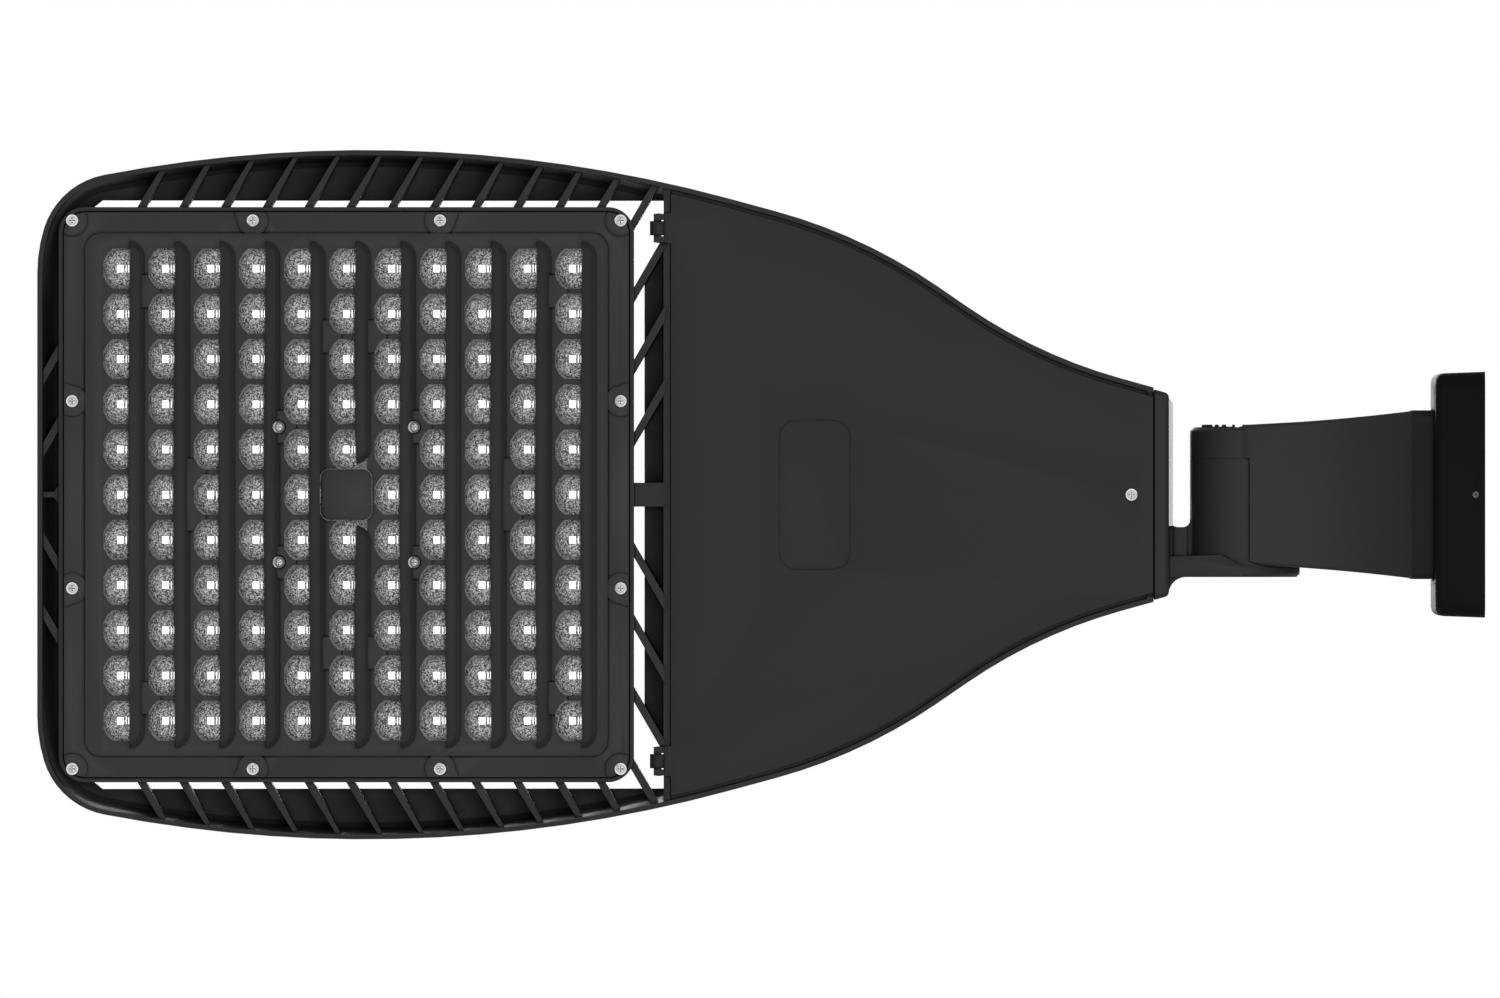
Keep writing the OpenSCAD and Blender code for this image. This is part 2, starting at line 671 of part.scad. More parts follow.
// Flat pads that rise from the field beside some openings: [column, row, half length]
short_pad = 8;
pads = concat([[-3, 0, 18], [4, 0, 18]], [for (p = [[-4, 4.5], [5, 4.5], [-1, 1.5], [2, 1.5],
    [0, 3.5], [1, 3.5]]) for (s = [-1, 1]) [p.x, s * p.y, short_pad]]);
module field_pad(p) {
    pad_left = -13.7;                      // from the lens centre: halfway up the next ridge
    pad_right = -4.2;
    pad_rise = (hood_foot - pad_left - lens_pitch) / hood_slope;
    at = [p.x * lens_pitch + lens_shift, p.y * lens_pitch];
    at_tray(field_low - pad_rise) linear_extrude(pad_rise + eps) difference() {
        translate(at + [pad_left, -p[2]]) square([pad_right - pad_left, 2 * p[2]]);
        for (j = [-2:2]) translate([at.x, (floor(p.y) + j) * lens_pitch]) lens_opening();
    }
}
module light_shield() {
    inner_w = 261.2;
    color([0.22, 0.215, 0.215]) difference() {
        union() {
            at_tray(shield_low) linear_extrude(shield_t) round_square(shield_w, 10.7);
            at_tray(field_low) linear_extrude(field_step + eps) round_square(inner_w, 8);
            // Raised pads round the edge screws
            at_tray(shield_low - 0.8) linear_extrude(0.8 + eps) intersection() {
                for (p = edge_screws) {
                    translate(p) circle(pad_r);
                    translate(p * 1.03) circle(pad_r);
                }
                round_square(shield_w, 10.7);
            }
            for (i = [-grid:grid])
                translate([-tray_reach + lens_shift + i * lens_pitch, 0, field_low])
                    if (i == 0) for (s = [0, 1]) mirror([0, s, 0])
                        hood(cap_hole / 2 + 2, hood_half);
                    else hood(-hood_half, hood_half);
            for (p = pads) field_pad(p);
        }
        difference() {
            for (p = lens_places) at_tray(field_low - eps) translate([p.x + lens_shift, p.y, 0]) {
                linear_extrude(shield_t + field_step + cut) lens_opening();
                hood_run(-opening_half, opening_half) opening_slope();
            }
            at_screws(inner_screws, field_low - cut) cylinder(h = 8, r = 4.2);
        }
        at_tray(field_low - 8) linear_extrude(12) round_square(cap_hole, cap_r + cap_gap);
        at_screws(edge_screws, field_low - cut) cylinder(h = 8, r = screw_r + 0.3);
        at_screws(inner_screws, field_low - 9) cylinder(h = 14, r = screw_r + 0.3);
        at_screws(inner_screws, field_low - 9) cylinder(h = 9, r = head_r + 0.6);
    }
}
module centre_cap() {
    cap_drop = 2.4;                        // how far the cap stands below the field
    color([0.2, 0.195, 0.195]) {
        at_tray(field_low - cap_drop) linear_extrude(lens_low - field_low + cap_drop)
            for (i = [0, 1]) {
                square([cap_w - 2 * cap_r * i, cap_w - 2 * cap_r * (1 - i)], center = true);
                for (x = [-1, 1]) for (y = [-1, 1])
                    translate([x, y] * (cap_w / 2 - cap_r)) circle(cap_r);
            }
    }
}
module shield_screws() {
    color([0.75, 0.75, 0.74]) at_screws(edge_screws, shield_low - 0.8)
        pan_screw(screw_r - 0.05, 10.5);
}
module optic_screws() {
    color([0.75, 0.75, 0.74]) at_screws(inner_screws, field_low)
        pan_screw(screw_r - 0.05, 12);
}

// ---------------------------------------------------------------- driver bay
module driver(x) {
    color([0.78, 0.78, 0.76]) difference() {
        union() {
            translate([x, -driver_w / 2 + 12, driver_top - driver_h])
                cube([driver_d, driver_w - 24, driver_h]);
            translate([x + 4, -driver_w / 2, driver_top - driver_flange_t])
                cube([driver_d - 8, driver_w, driver_flange_t]);
        }
        for (s = [-1, 1]) translate([x + driver_d / 2, s * driver_screw_off, driver_top - 10])
            cylinder(h = 20, r = screw_r + 0.3);
    }
}
module driver_front() { driver(driver_front_x); }
module driver_rear() { driver(driver_rear_x); }
module driver_screws() {
    color([0.7, 0.7, 0.68]) for (x = [driver_front_x, driver_rear_x]) for (s = [-1, 1])
        translate([x + driver_d / 2, s * driver_screw_off, driver_top - driver_flange_t])
            pan_screw(screw_r - 0.05, 8);
}
module surge_protector() {
    color([0.15, 0.15, 0.16]) translate([surge_at.x - 20, -24, surge_at.z - 26]) cube([40, 48, 26]);
}
module terminal_block() {
    ways = 3;
    color([0.85, 0.85, 0.82]) translate([terminal_at.x - 9, terminal_at.y - 18, terminal_at.z - 16])
        difference() {
            cube([18, 36, 16]);
            for (i = [0:ways - 1]) translate([9, 6 + 12 * i, -cut]) cylinder(h = 6, r = 3);
        }
}
module ground_screw() {
    color([0.2, 0.55, 0.25]) translate([ground_at.x, ground_at.y, 22])
        pan_screw(screw_r - 0.05, 5.5, 1.28);
}
wire_bundle_r = 2.5;
module harness() {
    bend = 4;
    color([0.1, 0.1, 0.1]) {
        translate([harness_x, 0, floor_z - board_t])
            cylinder(h = harness_z - bend - floor_z + board_t, r = wire_bundle_r);
        translate([harness_x + bend, 0, harness_z - bend]) rotate([90, 0, 0])
            rotate([0, 0, 90]) rotate_extrude(angle = 90) translate([bend, 0]) circle(wire_bundle_r);
        along_x(harness_x + bend, driver_front_x - harness_x - bend, 0, harness_z, wire_bundle_r);
    }
}
module harness_grommet() {
    flange = 2;
    bay_in = bay_wall_x + bay_wall_t;
    color([0.07, 0.07, 0.07]) difference() {
        union() {
            along_x(bay_wall_x - 3, bay_wall_t + 3 + flange, 0, harness_z, wire_way_r);
            along_x(bay_in, flange, 0, harness_z, wire_way_r + 2);
        }
        along_x(bay_wall_x - 5, 20, 0, harness_z, wire_bundle_r);
    }
}

// ---------------------------------------------------------------- knuckle
plate_x = -head_end + 0.7;                 // front face of the bracket's plate
plate_t = 7;
plate_half = 52.6;
plate_high = 30;                           // half of the bracket plate's height
lug_outer = 41.2;                            // outside face of the head's ear
barrel_end = 30.7;
spigot = 0.6;                              // low step of the barrel in the cheek, which hides the gap
spigot_r = 25.7;
cheek_in = -18.3;                          // inside face of the arm's cheek
cheek_out = -33.8;
ring_in = 13;                              // wire space round the bolt
ring_out = 20;
hub = [-hub_reach, 0, 0];
module plate_rect(half_y, half_z, r) {
    for (i = [0, 1])
        square([2 * (half_z - r * i), 2 * (half_y - r * (1 - i))], center = true);
    for (a = [-1, 1]) for (b = [-1, 1])
        translate([a * (half_z - r), b * (half_y - r)]) circle(r);
}
module upright(x, t) { translate([x, 0, 0]) rotate([0, 90, 0]) linear_extrude(t) children(); }

module bracket_gasket() {
    color([0.08, 0.08, 0.08]) difference() {
        translate([0, 0, bracket_mid_z]) upright(-head_end, 0.7) plate_rect(52, 29, 3);
        for (p = bracket_bolt_places) along_x(-head_end - cut, 4, p.x, p.y, bracket_bolt_r + 0.3);
        along_x(-head_end - cut, 4, port.x, port.y, port_r);
    }
}

// Round about the tilt axis: profile points are [radius, y]
module about_axis(profile) {
    translate(hub) rotate([-90, 0, 0]) rotate_extrude($fn = 96) polygon(profile);
}
flare_y = 36.6;                            // where the barrel's flare meets the ear
ear_disc_r = 28.5;
module knuckle_bracket() {
    rib_z = 8;
    root_back = -148.3;                    // the thick root of the ear ends here
    root_front = -154.4;                   // a groove parts its outer parts from the plate
    root_low = 16.2;
    shoulder_y = 29.8;                     // the ear's broad shoulder starts here
    shoulder_z = 28.4;                     // half of its height
    shoulder_turn_r = 30.2;
    shoulder_back = -10.5;                 // its round part ends this far before the tilt axis
    color([0.21, 0.2, 0.2]) difference() {
        union() {
            translate([0, 0, bracket_mid_z]) upright(plate_x, plate_t) plate_rect(plate_half, plate_high, 3);
            // Low pad on the plate's back face, with steep sides
            hull() {
                translate([plate_x + plate_t - cut, 4 - plate_half, bracket_mid_z - plate_high + 3])
                    cube([cut, plate_half + 12, 2 * plate_high - 6]);
                translate([plate_x + plate_t + 1.2, 7 - plate_half, bracket_mid_z - 8])
                    cube([cut, plate_half + 9, 16]);
            }
            about_axis([
                [0, cheek_in + face_gap - spigot], [spigot_r, cheek_in + face_gap - spigot],
                [spigot_r, cheek_in + face_gap], [hub_r - 0.2, cheek_in + face_gap],
                [hub_r, cheek_in + face_gap + 0.2], [hub_r, barrel_end],
                [hub_r + 0.5, 33.2], [hub_r + 1.2, 35.2], [ear_disc_r, flare_y],
                [ear_disc_r, lug_outer - 1.6], [ear_disc_r - 1.6, lug_outer], [0, lug_outer]
            ]);
            // Thick root of the ear, with its fillet to the plate
            translate([root_front, root_low, -24]) cube([root_back - root_front, lug_outer - root_low, 48]);
            translate([plate_x + plate_t - cut, root_low, -14])
                cube([root_back - plate_x - plate_t + cut, lug_outer - root_low, 28]);
            translate([plate_x + plate_t - cut, root_low, -rib_z])
                cube([-hub_reach - 20 - plate_x - plate_t, lug_outer - root_low, 2 * rib_z]);
            // Below, the shoulder runs on as one face from the plate to the ear's disc
            translate([0, 0, -shoulder_z]) linear_extrude(shoulder_z) polygon([
                [plate_x + plate_t - cut, 31], [-131.2, 30.2], [-125.8, 33], [-hub_reach, flare_y],
                [-hub_reach, lug_outer], [plate_x + plate_t - cut, lug_outer]
            ]);
            // The gap between plate and barrel ends in a round hollow
            translate([0, 0, -rib_z]) linear_extrude(2 * rib_z) difference() {
                translate([plate_x + plate_t - cut, root_low - 5])
                    square([-hub_reach - hub_r + 1.5 - plate_x - plate_t + cut, 5 + eps]);
                translate([plate_x + plate_t + 5, root_low - 5]) circle(5);
                translate([plate_x + plate_t + 5, root_low - 5 - cut])
                    square([-hub_reach - hub_r - 3.5 - plate_x - plate_t - 5, 5 + cut]);
                translate([-hub_reach - hub_r - 3.5, root_low - 3.5]) circle(3.5);
                translate([-hub_reach - hub_r - 3.5, root_low - 5 - cut]) square([6, 1.5 + cut]);
            }
            // Broad shoulder, level with the plate's edge and round over the barrel
            translate([plate_x + plate_t - cut, shoulder_y, -eps])
                cube([root_back - plate_x - plate_t + cut, lug_outer - shoulder_y, shoulder_z + eps]);
            intersection() {
                about_axis([
                    [0, shoulder_y], [shoulder_turn_r, shoulder_y],
                    [shoulder_turn_r, lug_outer - 1.6], [shoulder_turn_r - 1.6, lug_outer], [0, lug_outer]
                ]);
                translate([root_back - cut, 0, -eps])
                    cube([-hub_reach + shoulder_back - root_back + cut, 60, hub_r + 10]);
            }
            translate([plate_x + plate_t - cut, flare_y + 0.4, -hub_r])
                cube([-hub_reach - plate_x - plate_t + cut, lug_outer - flare_y - 0.4, 2 * hub_r]);
            intersection() {
                translate([plate_x + plate_t - cut, lug_outer - cut, -24]) cube([11, 10, 48]);
                difference() {
                    translate([plate_x + plate_t - cut, lug_outer - cut, -24]) cube([10, 10, 48]);
                    translate([plate_x + plate_t + 8.6, lug_outer + 8.6, -30]) cylinder(h = 60, r = 8.6);
                }
            }
        }
        translate(hub) along_y(cheek_in - 2, 80, bolt_r + 0.25);
        translate(hub) along_y(35.2, 10, 9.2);
        // Wire space round the bolt, open to the arm's cheek
        about_axis([
            [ring_in, cheek_in - 2], [ring_out, cheek_in - 2], [ring_out, 33.5], [ring_in, 33.5]
        ]);
        along_x(plate_x - cut, -hub_reach - ring_in - 1 - plate_x, port.x, port.y, port_r);
        for (p = bracket_bolt_places) along_x(plate_x - cut, 6 + cut, p.x, p.y, bracket_bolt_r);
    }
}
module bracket_bolts() {
    color([0.7, 0.7, 0.68]) for (p = bracket_bolt_places) {
        along_x(-head_end - shell_wall, 3.9 + 5.5, p.x, p.y, bracket_bolt_r);
        difference() {
            along_x(-head_end - shell_wall - 5, 5, p.x, p.y, 5);
            translate([-head_end - shell_wall - 5 - cut, p.x, p.y]) rotate([0, 90, 0])
                cylinder(h = 3.5, r = 2.9, $fn = 6);
        }
    }
}
module tilt_bolt() {
    color([0.7, 0.7, 0.68]) translate(hub) difference() {
        union() {
            along_y(-32.4, 67.6, bolt_r);
            along_y(35.2, 5.6, 8.4);
        }
        translate([0, 41.5, 0]) rotate([90, 0, 0]) cylinder(h = 4.5, r = 4.6, $fn = 6);
    }
}
nut_y = -33.3;
nut_t = 8;
module tilt_nut() {
    color([0.7, 0.7, 0.68]) translate(hub) difference() {
        translate([0, nut_y + nut_t, 0]) rotate([90, 0, 0]) cylinder(h = nut_t, r = 9.8, $fn = 6);
        along_y(nut_y - cut, nut_t + 2 * cut, bolt_r + bolt_fit);
    }
}
seal_mid = 23.2;
module knuckle_seal() {
    color([0.06, 0.06, 0.06]) about_axis([
        [seal_mid - 1.3, cheek_in - 1.9], [seal_mid + 1.3, cheek_in - 1.9],
        [seal_mid + 1.3, cheek_in - spigot], [seal_mid - 1.3, cheek_in - spigot]
    ]);
}

// ---------------------------------------------------------------- arm
flange_x = -plate_depth - flange_t;
waist_x = -92;                             // the flare starts here
body_top = 26.6;
flare_high = flange_half_z - 3;
flare_r = crown_r(flange_x - waist_x, flare_high - body_top);
function body_half_z(x) = x < waist_x ? body_top
    : body_top + flare_r - sqrt(flare_r * flare_r - (x - waist_x) * (x - waist_x));
// Sides of the arm, which open out gently towards the flange
side_start = 35.1;
side_flare_r = crown_r(flange_x + hub_reach - 4, flange_half_y - side_start);
function body_half_y(x) = let (dx = max(0, x + hub_reach - 4))
    side_start + 0.045 * dx + 0.45 * (side_flare_r - sqrt(side_flare_r * side_flare_r - dx * dx));
arm_edge_r = 2;
arm_corner = 5;                            // segments in each rounded corner
step_x = -116.8;                           // the arm steps down from the barrel here
step_drop = 0.8;
function body_low(x) = body_half_z(x) + (x < step_x - eps ? 0 : step_drop);
function arm_ring(x) = let (hy = body_half_y(x), hz = body_half_z(x), low = body_low(x))
    [for (q = [0:3]) for (i = [0:arm_corner])
        let (a = 90 * q + 90 * i / arm_corner,
             cy = (q == 0 || q == 3 ? 1 : -1) * (hy - arm_edge_r),
             cz = q < 2 ? hz - arm_edge_r : arm_edge_r - low)
            [x, cy + arm_edge_r * cos(a), cz + arm_edge_r * sin(a)]];
module loft(rings) {
    n = len(rings[0]);
    last = len(rings) - 1;
    sides = [for (k = [0:last - 1]) for (i = [0:n - 1]) for (t = [0, 1])
        let (a = k * n + i, b = k * n + (i + 1) % n)
            t == 0 ? [a, b + n, b] : [a, a + n, b + n]];
    polyhedron(
        [for (r = rings) for (p = r) p],
        concat(sides, [[for (i = [0:n - 1]) i]], [[for (i = [n - 1:-1:0]) last * n + i]]),
        convexity = 4
    );
}
arm_bolt_places = [for (a = [-1, 1]) for (b = [-1, 1]) [a * 33, b * 41]];
arm_bolt_r = 3;
module arm() {
    stations = concat([-hub_reach, step_x, waist_x],
        [for (i = [1:8]) waist_x + (flange_x + 1 - waist_x) * i / 8]);
    pocket_r = hub_r + turn_gap;
    color([0.215, 0.205, 0.21]) difference() {
        union() {
            difference() {
                loft([for (x = stations) arm_ring(x)]);
                // Pocket for the head's barrel, its flare and its ear
                about_axis([
                    [0, cheek_in], [pocket_r, cheek_in], [pocket_r, barrel_end - 0.4],
                    [pocket_r + 0.6, 32.8], [pocket_r + 1.4, 34.6], [ear_disc_r + 0.6, 36],
                    [ear_disc_r + 0.6, 60], [0, 60]
                ]);
                // Room above for the ear's root as the head tilts up
                intersection() {
                    about_axis([[0, cheek_in], [pocket_r + 4, cheek_in], [pocket_r + 4, 60], [0, 60]]);
                    translate(hub + [-50, -50, 9.5]) cube([100, 120, 40]);
                }
                // Below the barrel the arm starts at its step
                translate([-hub_reach - cut, cheek_in, -hub_r - 5])
                    cube([step_x + hub_reach + cut, 60, hub_r + 5]);
            }
            about_axis([
                [0, cheek_out], [hub_r - 2, cheek_out], [hub_r, cheek_out + 2],
                [hub_r, cheek_in], [0, cheek_in]
            ]);
            upright(flange_x, flange_t) plate_rect(flange_half_y, flange_half_z, 4);
        }
        about_axis([
            [0, cheek_in - spigot], [spigot_r + turn_gap / 2, cheek_in - spigot],
            [spigot_r + turn_gap / 2, cheek_in + cut], [0, cheek_in + cut]
        ]);
        // Wire way: ring space in the cheek, channel behind the pocket, hollow arm
        about_axis([
            [ring_in, -29.5], [ring_out, -29.5], [ring_out, cheek_in + cut], [ring_in, cheek_in + cut]
        ]);
        translate([-hub_reach + ring_in - 1, -29.5, -11]) cube([40, 8.2, 22]);
        translate([-88, -29.5, -20]) cube([88, 59, 40]);
        translate([-66, -31, -26]) cube([66, 62, 52]);
        translate(hub) along_y(cheek_out - cut, 30, bolt_r + bolt_fit);
        translate(hub + [0, nut_y + nut_t + 0.1, 0]) rotate([90, 0, 0]) cylinder(h = 20, r = 9.9, $fn = 6);
        about_axis([
            [seal_mid - 1.3, cheek_in - 1.9], [seal_mid + 1.3, cheek_in - 1.9],
            [seal_mid + 1.3, cheek_in + cut], [seal_mid - 1.3, cheek_in + cut]
        ]);
        for (p = arm_bolt_places) along_x(-plate_depth - 9, 20, p.x, p.y, arm_bolt_r);
    }
}
module arm_bolts() {
    head_x = -plate_depth + plate_front_t;
    color([0.7, 0.7, 0.68]) for (p = arm_bolt_places) {
        along_x(-plate_depth - 8.5, 8.5 + plate_front_t, p.x, p.y, arm_bolt_r);
        difference() {
            along_x(head_x, 5, p.x, p.y, 5);
            translate([head_x + 2, p.x, p.y]) rotate([0, 90, 0]) cylinder(h = 5, r = 2.9, $fn = 6);
        }
    }
}

// ---------------------------------------------------------------- pole plate
plate_draft = 0.036;                       // the box narrows by this much per mm
plate_edge_r = 4;
plate_front_t = 5;                         // the box's front wall
bracket_half_z = 74;
bracket_t = 6.2;
function plate_ring(x, d) = let (
    hy = plate_half_y + plate_draft * x - d,
    hz = plate_half_z + plate_draft * x - d,
    r = 9 - d
) [for (q = [0:3]) for (i = [0:6])
    let (a = 90 * q + 15 * i,
         cy = (q == 0 || q == 3 ? 1 : -1) * (hy - r),
         cz = (q < 2 ? 1 : -1) * (hz - r))
        [x, cy + r * cos(a), cz + r * sin(a)]];
module pole_plate() {
    wall = 5.2;
    color([0.13, 0.125, 0.13]) difference() {
        loft([
            for (a = [90, 60, 30, 0])
                plate_ring(-plate_depth + plate_edge_r * (1 - sin(a)), plate_edge_r * (1 - cos(a))),
            plate_ring(0, 0)
        ]);
        difference() {
            translate([-plate_depth + plate_front_t, -plate_half_y + wall, -plate_half_z + wall])
                cube([plate_depth, 2 * (plate_half_y - wall), 2 * (plate_half_z - wall)]);
            // Two hooks that hang the box on the pole bracket's top edge
            for (s = [-1, 1]) translate([-12, s * 35 - 6, bracket_half_z])
                cube([11, 12, plate_half_z - bracket_half_z]);
        }
        for (p = arm_bolt_places) along_x(-plate_depth - cut, 8, p.x, p.y, arm_bolt_r + 0.3);
        translate([-plate_depth - cut, -24, -18]) cube([8, 48, 36]);
        translate([-4.7, 0, -plate_half_z - cut]) cylinder(h = 8, r = 1.5);
    }
}
module pole_bracket() {
    color([0.6, 0.6, 0.58]) difference() {
        upright(-bracket_t, bracket_t) plate_rect(54, bracket_half_z, 3);
        for (s = [-1, 1])
            along_x(-bracket_t - cut, bracket_t + 2 * cut, 0, s * pole_bolt_pitch / 2, pole_bolt_r);
        along_x(-bracket_t - cut, bracket_t + 2 * cut, 0, 0, wire_r + 2.5);
    }
}
module wire_bushing() {
    color([0.07, 0.07, 0.07]) difference() {
        union() {
            along_x(-bracket_t - 2.5, bracket_t + 2.5, 0, 0, wire_r + 2.5);
            along_x(-bracket_t - 2.5, 2.5, 0, 0, wire_r + 5);
        }
        along_x(-bracket_t - 5, bracket_t + 10, 0, 0, wire_r);
    }
}
module set_screw() {
    color([0.75, 0.75, 0.74]) translate([-4.7, 0, -bracket_half_z - 7]) difference() {
        cylinder(h = 7, r = 1.5);
        translate([0, 0, -cut]) cylinder(h = 3, r = 0.9, $fn = 6);
    }
}

housing();
driver_door();
door_gasket();
hinge_pins();
door_screw();
screw_retainer();
led_board();
led_chips();
lens_gasket();
lens_plate();
light_shield();
centre_cap();
shield_screws();
optic_screws();
driver_front();
driver_rear();
driver_screws();
surge_protector();
terminal_block();
harness();
harness_grommet();
ground_screw();
bracket_gasket();
knuckle_bracket();
bracket_bolts();
tilt_bolt();
tilt_nut();
knuckle_seal();
arm();
arm_bolts();
pole_plate();
pole_bracket();
wire_bushing();
set_screw();
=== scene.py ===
# Looks of the area light: paint, plastic, lenses, screws and the studio round it.
import json
import math

import bpy
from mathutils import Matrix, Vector

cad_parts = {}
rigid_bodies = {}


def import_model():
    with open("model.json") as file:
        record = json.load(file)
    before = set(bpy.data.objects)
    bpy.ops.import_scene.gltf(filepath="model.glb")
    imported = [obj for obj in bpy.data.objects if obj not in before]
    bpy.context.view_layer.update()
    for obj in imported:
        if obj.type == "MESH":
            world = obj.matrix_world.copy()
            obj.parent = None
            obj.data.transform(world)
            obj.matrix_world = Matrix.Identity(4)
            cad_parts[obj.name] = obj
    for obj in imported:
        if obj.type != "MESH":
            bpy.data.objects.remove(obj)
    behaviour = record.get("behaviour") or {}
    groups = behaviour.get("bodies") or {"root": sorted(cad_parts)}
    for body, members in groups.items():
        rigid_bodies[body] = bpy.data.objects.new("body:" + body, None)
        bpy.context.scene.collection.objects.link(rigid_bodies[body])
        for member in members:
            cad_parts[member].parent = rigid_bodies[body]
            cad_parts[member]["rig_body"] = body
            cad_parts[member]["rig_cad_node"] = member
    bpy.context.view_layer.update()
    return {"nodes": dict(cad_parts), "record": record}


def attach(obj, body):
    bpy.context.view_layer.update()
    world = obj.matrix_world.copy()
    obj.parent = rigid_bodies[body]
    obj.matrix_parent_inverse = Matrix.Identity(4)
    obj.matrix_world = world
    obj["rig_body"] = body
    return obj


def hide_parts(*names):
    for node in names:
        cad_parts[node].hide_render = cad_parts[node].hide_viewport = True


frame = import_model()
mm = 0.001
print("frame loaded:", len(frame["nodes"]), "nodes")

bodyOfNode = {node: body for body, nodes in frame["record"]["behaviour"]["bodies"].items() for node in nodes}


# --- camera, straight from below -------------------------------------------------
cameraView = {
    "width": 750 * mm,        # the picture's width at the height of the rim
    "centre": (-366.8 * mm, 2.16 * mm),
    "rimHeight": -34 * mm,
    "lens": 1000,
    "sensor": 36,
    "near": 0.1,
    "reach": 60,
}


def placeCamera(view):
    away = view["width"] * view["lens"] / view["sensor"]
    spot = (view["centre"][0], view["centre"][1], view["rimHeight"] - away)
    bpy.ops.object.camera_add(location=spot, rotation=(math.pi, 0, 0))
    camera = bpy.context.object
    camera.data.lens = view["lens"]
    camera.data.sensor_width = view["sensor"]
    camera.data.clip_start = view["near"]
    camera.data.clip_end = view["reach"]
    bpy.context.scene.camera = camera


placeCamera(cameraView)
print("camera placed")


# --- hand tools ------------------------------------------------------------------
def selectOnly(*pieces):
    bpy.ops.object.select_all(action="DESELECT")
    for piece in pieces:
        piece.select_set(True)
    bpy.context.view_layer.objects.active = pieces[0]


def editAll(piece):
    selectOnly(piece)
    bpy.ops.object.mode_set(mode="EDIT")
    bpy.ops.mesh.select_all(action="SELECT")


def leaveEdit():
    bpy.ops.object.mode_set(mode="OBJECT")


def editFaces(piece, test):
    # Edit mode, with only the faces that pass the test picked
    editAll(piece)
    bpy.ops.mesh.select_mode(type="FACE")
    bpy.ops.mesh.select_all(action="DESELECT")
    leaveEdit()
    for face in piece.data.polygons:
        face.select = test(face)
    bpy.ops.object.mode_set(mode="EDIT")


def editEdges(piece, test):
    editAll(piece)
    bpy.ops.mesh.select_mode(type="EDGE")
    bpy.ops.mesh.select_all(action="DESELECT")
    leaveEdit()
    points = piece.data.vertices
    for edge in piece.data.edges:
        edge.select = test(points[edge.vertices[0]].co, points[edge.vertices[1]].co)
    bpy.ops.object.mode_set(mode="EDIT")


def settle(piece):
    # The piece's place goes into its mesh
    selectOnly(piece)
    bpy.ops.object.transform_apply(location=True, rotation=True, scale=True)
    return piece


def named(name):
    piece = bpy.context.object
    piece.name = name
    piece.data.name = name
    return piece


def applyLast(piece):
    selectOnly(piece)
    bpy.ops.object.modifier_apply(modifier=piece.modifiers[-1].name)


def weighEdges(piece, angle, crisp):
    # Sharp edges get a bevel weight, apart from those that stay crisp
    editAll(piece)
    bpy.ops.mesh.select_mode(type="EDGE")
    bpy.ops.mesh.select_all(action="DESELECT")
    bpy.ops.mesh.edges_select_sharp(sharpness=math.radians(angle))
    leaveEdit()
    weight = piece.data.attributes.new("bevel_weight_edge", "FLOAT", "EDGE")
    points = piece.data.vertices
    for edge in piece.data.edges:
        a, b = (points[i].co for i in edge.vertices)
        weight.data[edge.index].value = float(edge.select and not crisp(a, b))


def roundEdges(piece, width, angle=35, segments=2, crisp=None):
    if crisp:
        weighEdges(piece, angle, crisp)
    bevel = piece.modifiers.new("edges", "BEVEL")
    bevel.width = width
    bevel.segments = segments
    bevel.limit_method = "WEIGHT" if crisp else "ANGLE"
    bevel.angle_limit = math.radians(angle)
    bevel.miter_outer = "MITER_ARC"
    applyLast(piece)


def smooth(piece, angle=35):
    selectOnly(piece)
    bpy.ops.object.shade_smooth_by_angle(angle=math.radians(angle))


def carve(piece, cutter, operation="DIFFERENCE"):
    cut = piece.modifiers.new("cut", "BOOLEAN")
    cut.operation = operation
    cut.solver = "EXACT"
    cut.object = cutter
    applyLast(piece)
    bpy.data.objects.remove(cutter)


def duplicated(piece, offset, turn=0.0):
    selectOnly(piece)
    bpy.ops.object.duplicate()
    copy = bpy.context.object
    if turn:
        bpy.ops.transform.rotate(value=turn, orient_axis="Z", center_override=(0, 0, 0))
    bpy.ops.transform.translate(value=offset)
    return settle(copy)


def joined(pieces, name):
    selectOnly(*pieces)
    bpy.ops.object.join()
    return named(name)


def copyOfNode(node, name, lines=()):
    # A merged copy of a CAD node, with its flat faces whole again between the lines of constant x
    selectOnly(frame["nodes"][node])
    bpy.ops.object.duplicate()
    piece = named(name)
    piece.parent = None
    del piece["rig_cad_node"]
    del piece["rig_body"]
    piece.data.materials.clear()
    bpy.ops.mesh.customdata_custom_splitnormals_clear()
    editAll(piece)
    bpy.ops.mesh.remove_doubles(threshold=0.002 * mm)
    for x in lines:
        bpy.ops.mesh.select_all(action="SELECT")
        bpy.ops.mesh.bisect(plane_co=(x, 0, 0), plane_no=(1, 0, 0))
        bpy.ops.mesh.mark_seam()
    bpy.ops.mesh.select_all(action="SELECT")
    bpy.ops.mesh.dissolve_limited(angle_limit=math.radians(0.6), delimit={"SEAM"})
    leaveEdit()
    return piece


def finished(piece, finish, node, replaced=(), body=None):
    if not piece.data.materials:
        piece.data.materials.append(finish)
    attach(piece, body or bodyOfNode[node])
    if replaced:
        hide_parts(*replaced)
    return piece


# --- shader groups ---------------------------------------------------------------
def addNode(tree, kind, inputs=None, **settings):
    node = tree.nodes.new(kind)
    for key, value in settings.items():
        setattr(node, key, value)
    for key, value in (inputs or {}).items():
        node.inputs[key].default_value = value
    return node


def link(tree, output, target):
    tree.links.new(output, target)


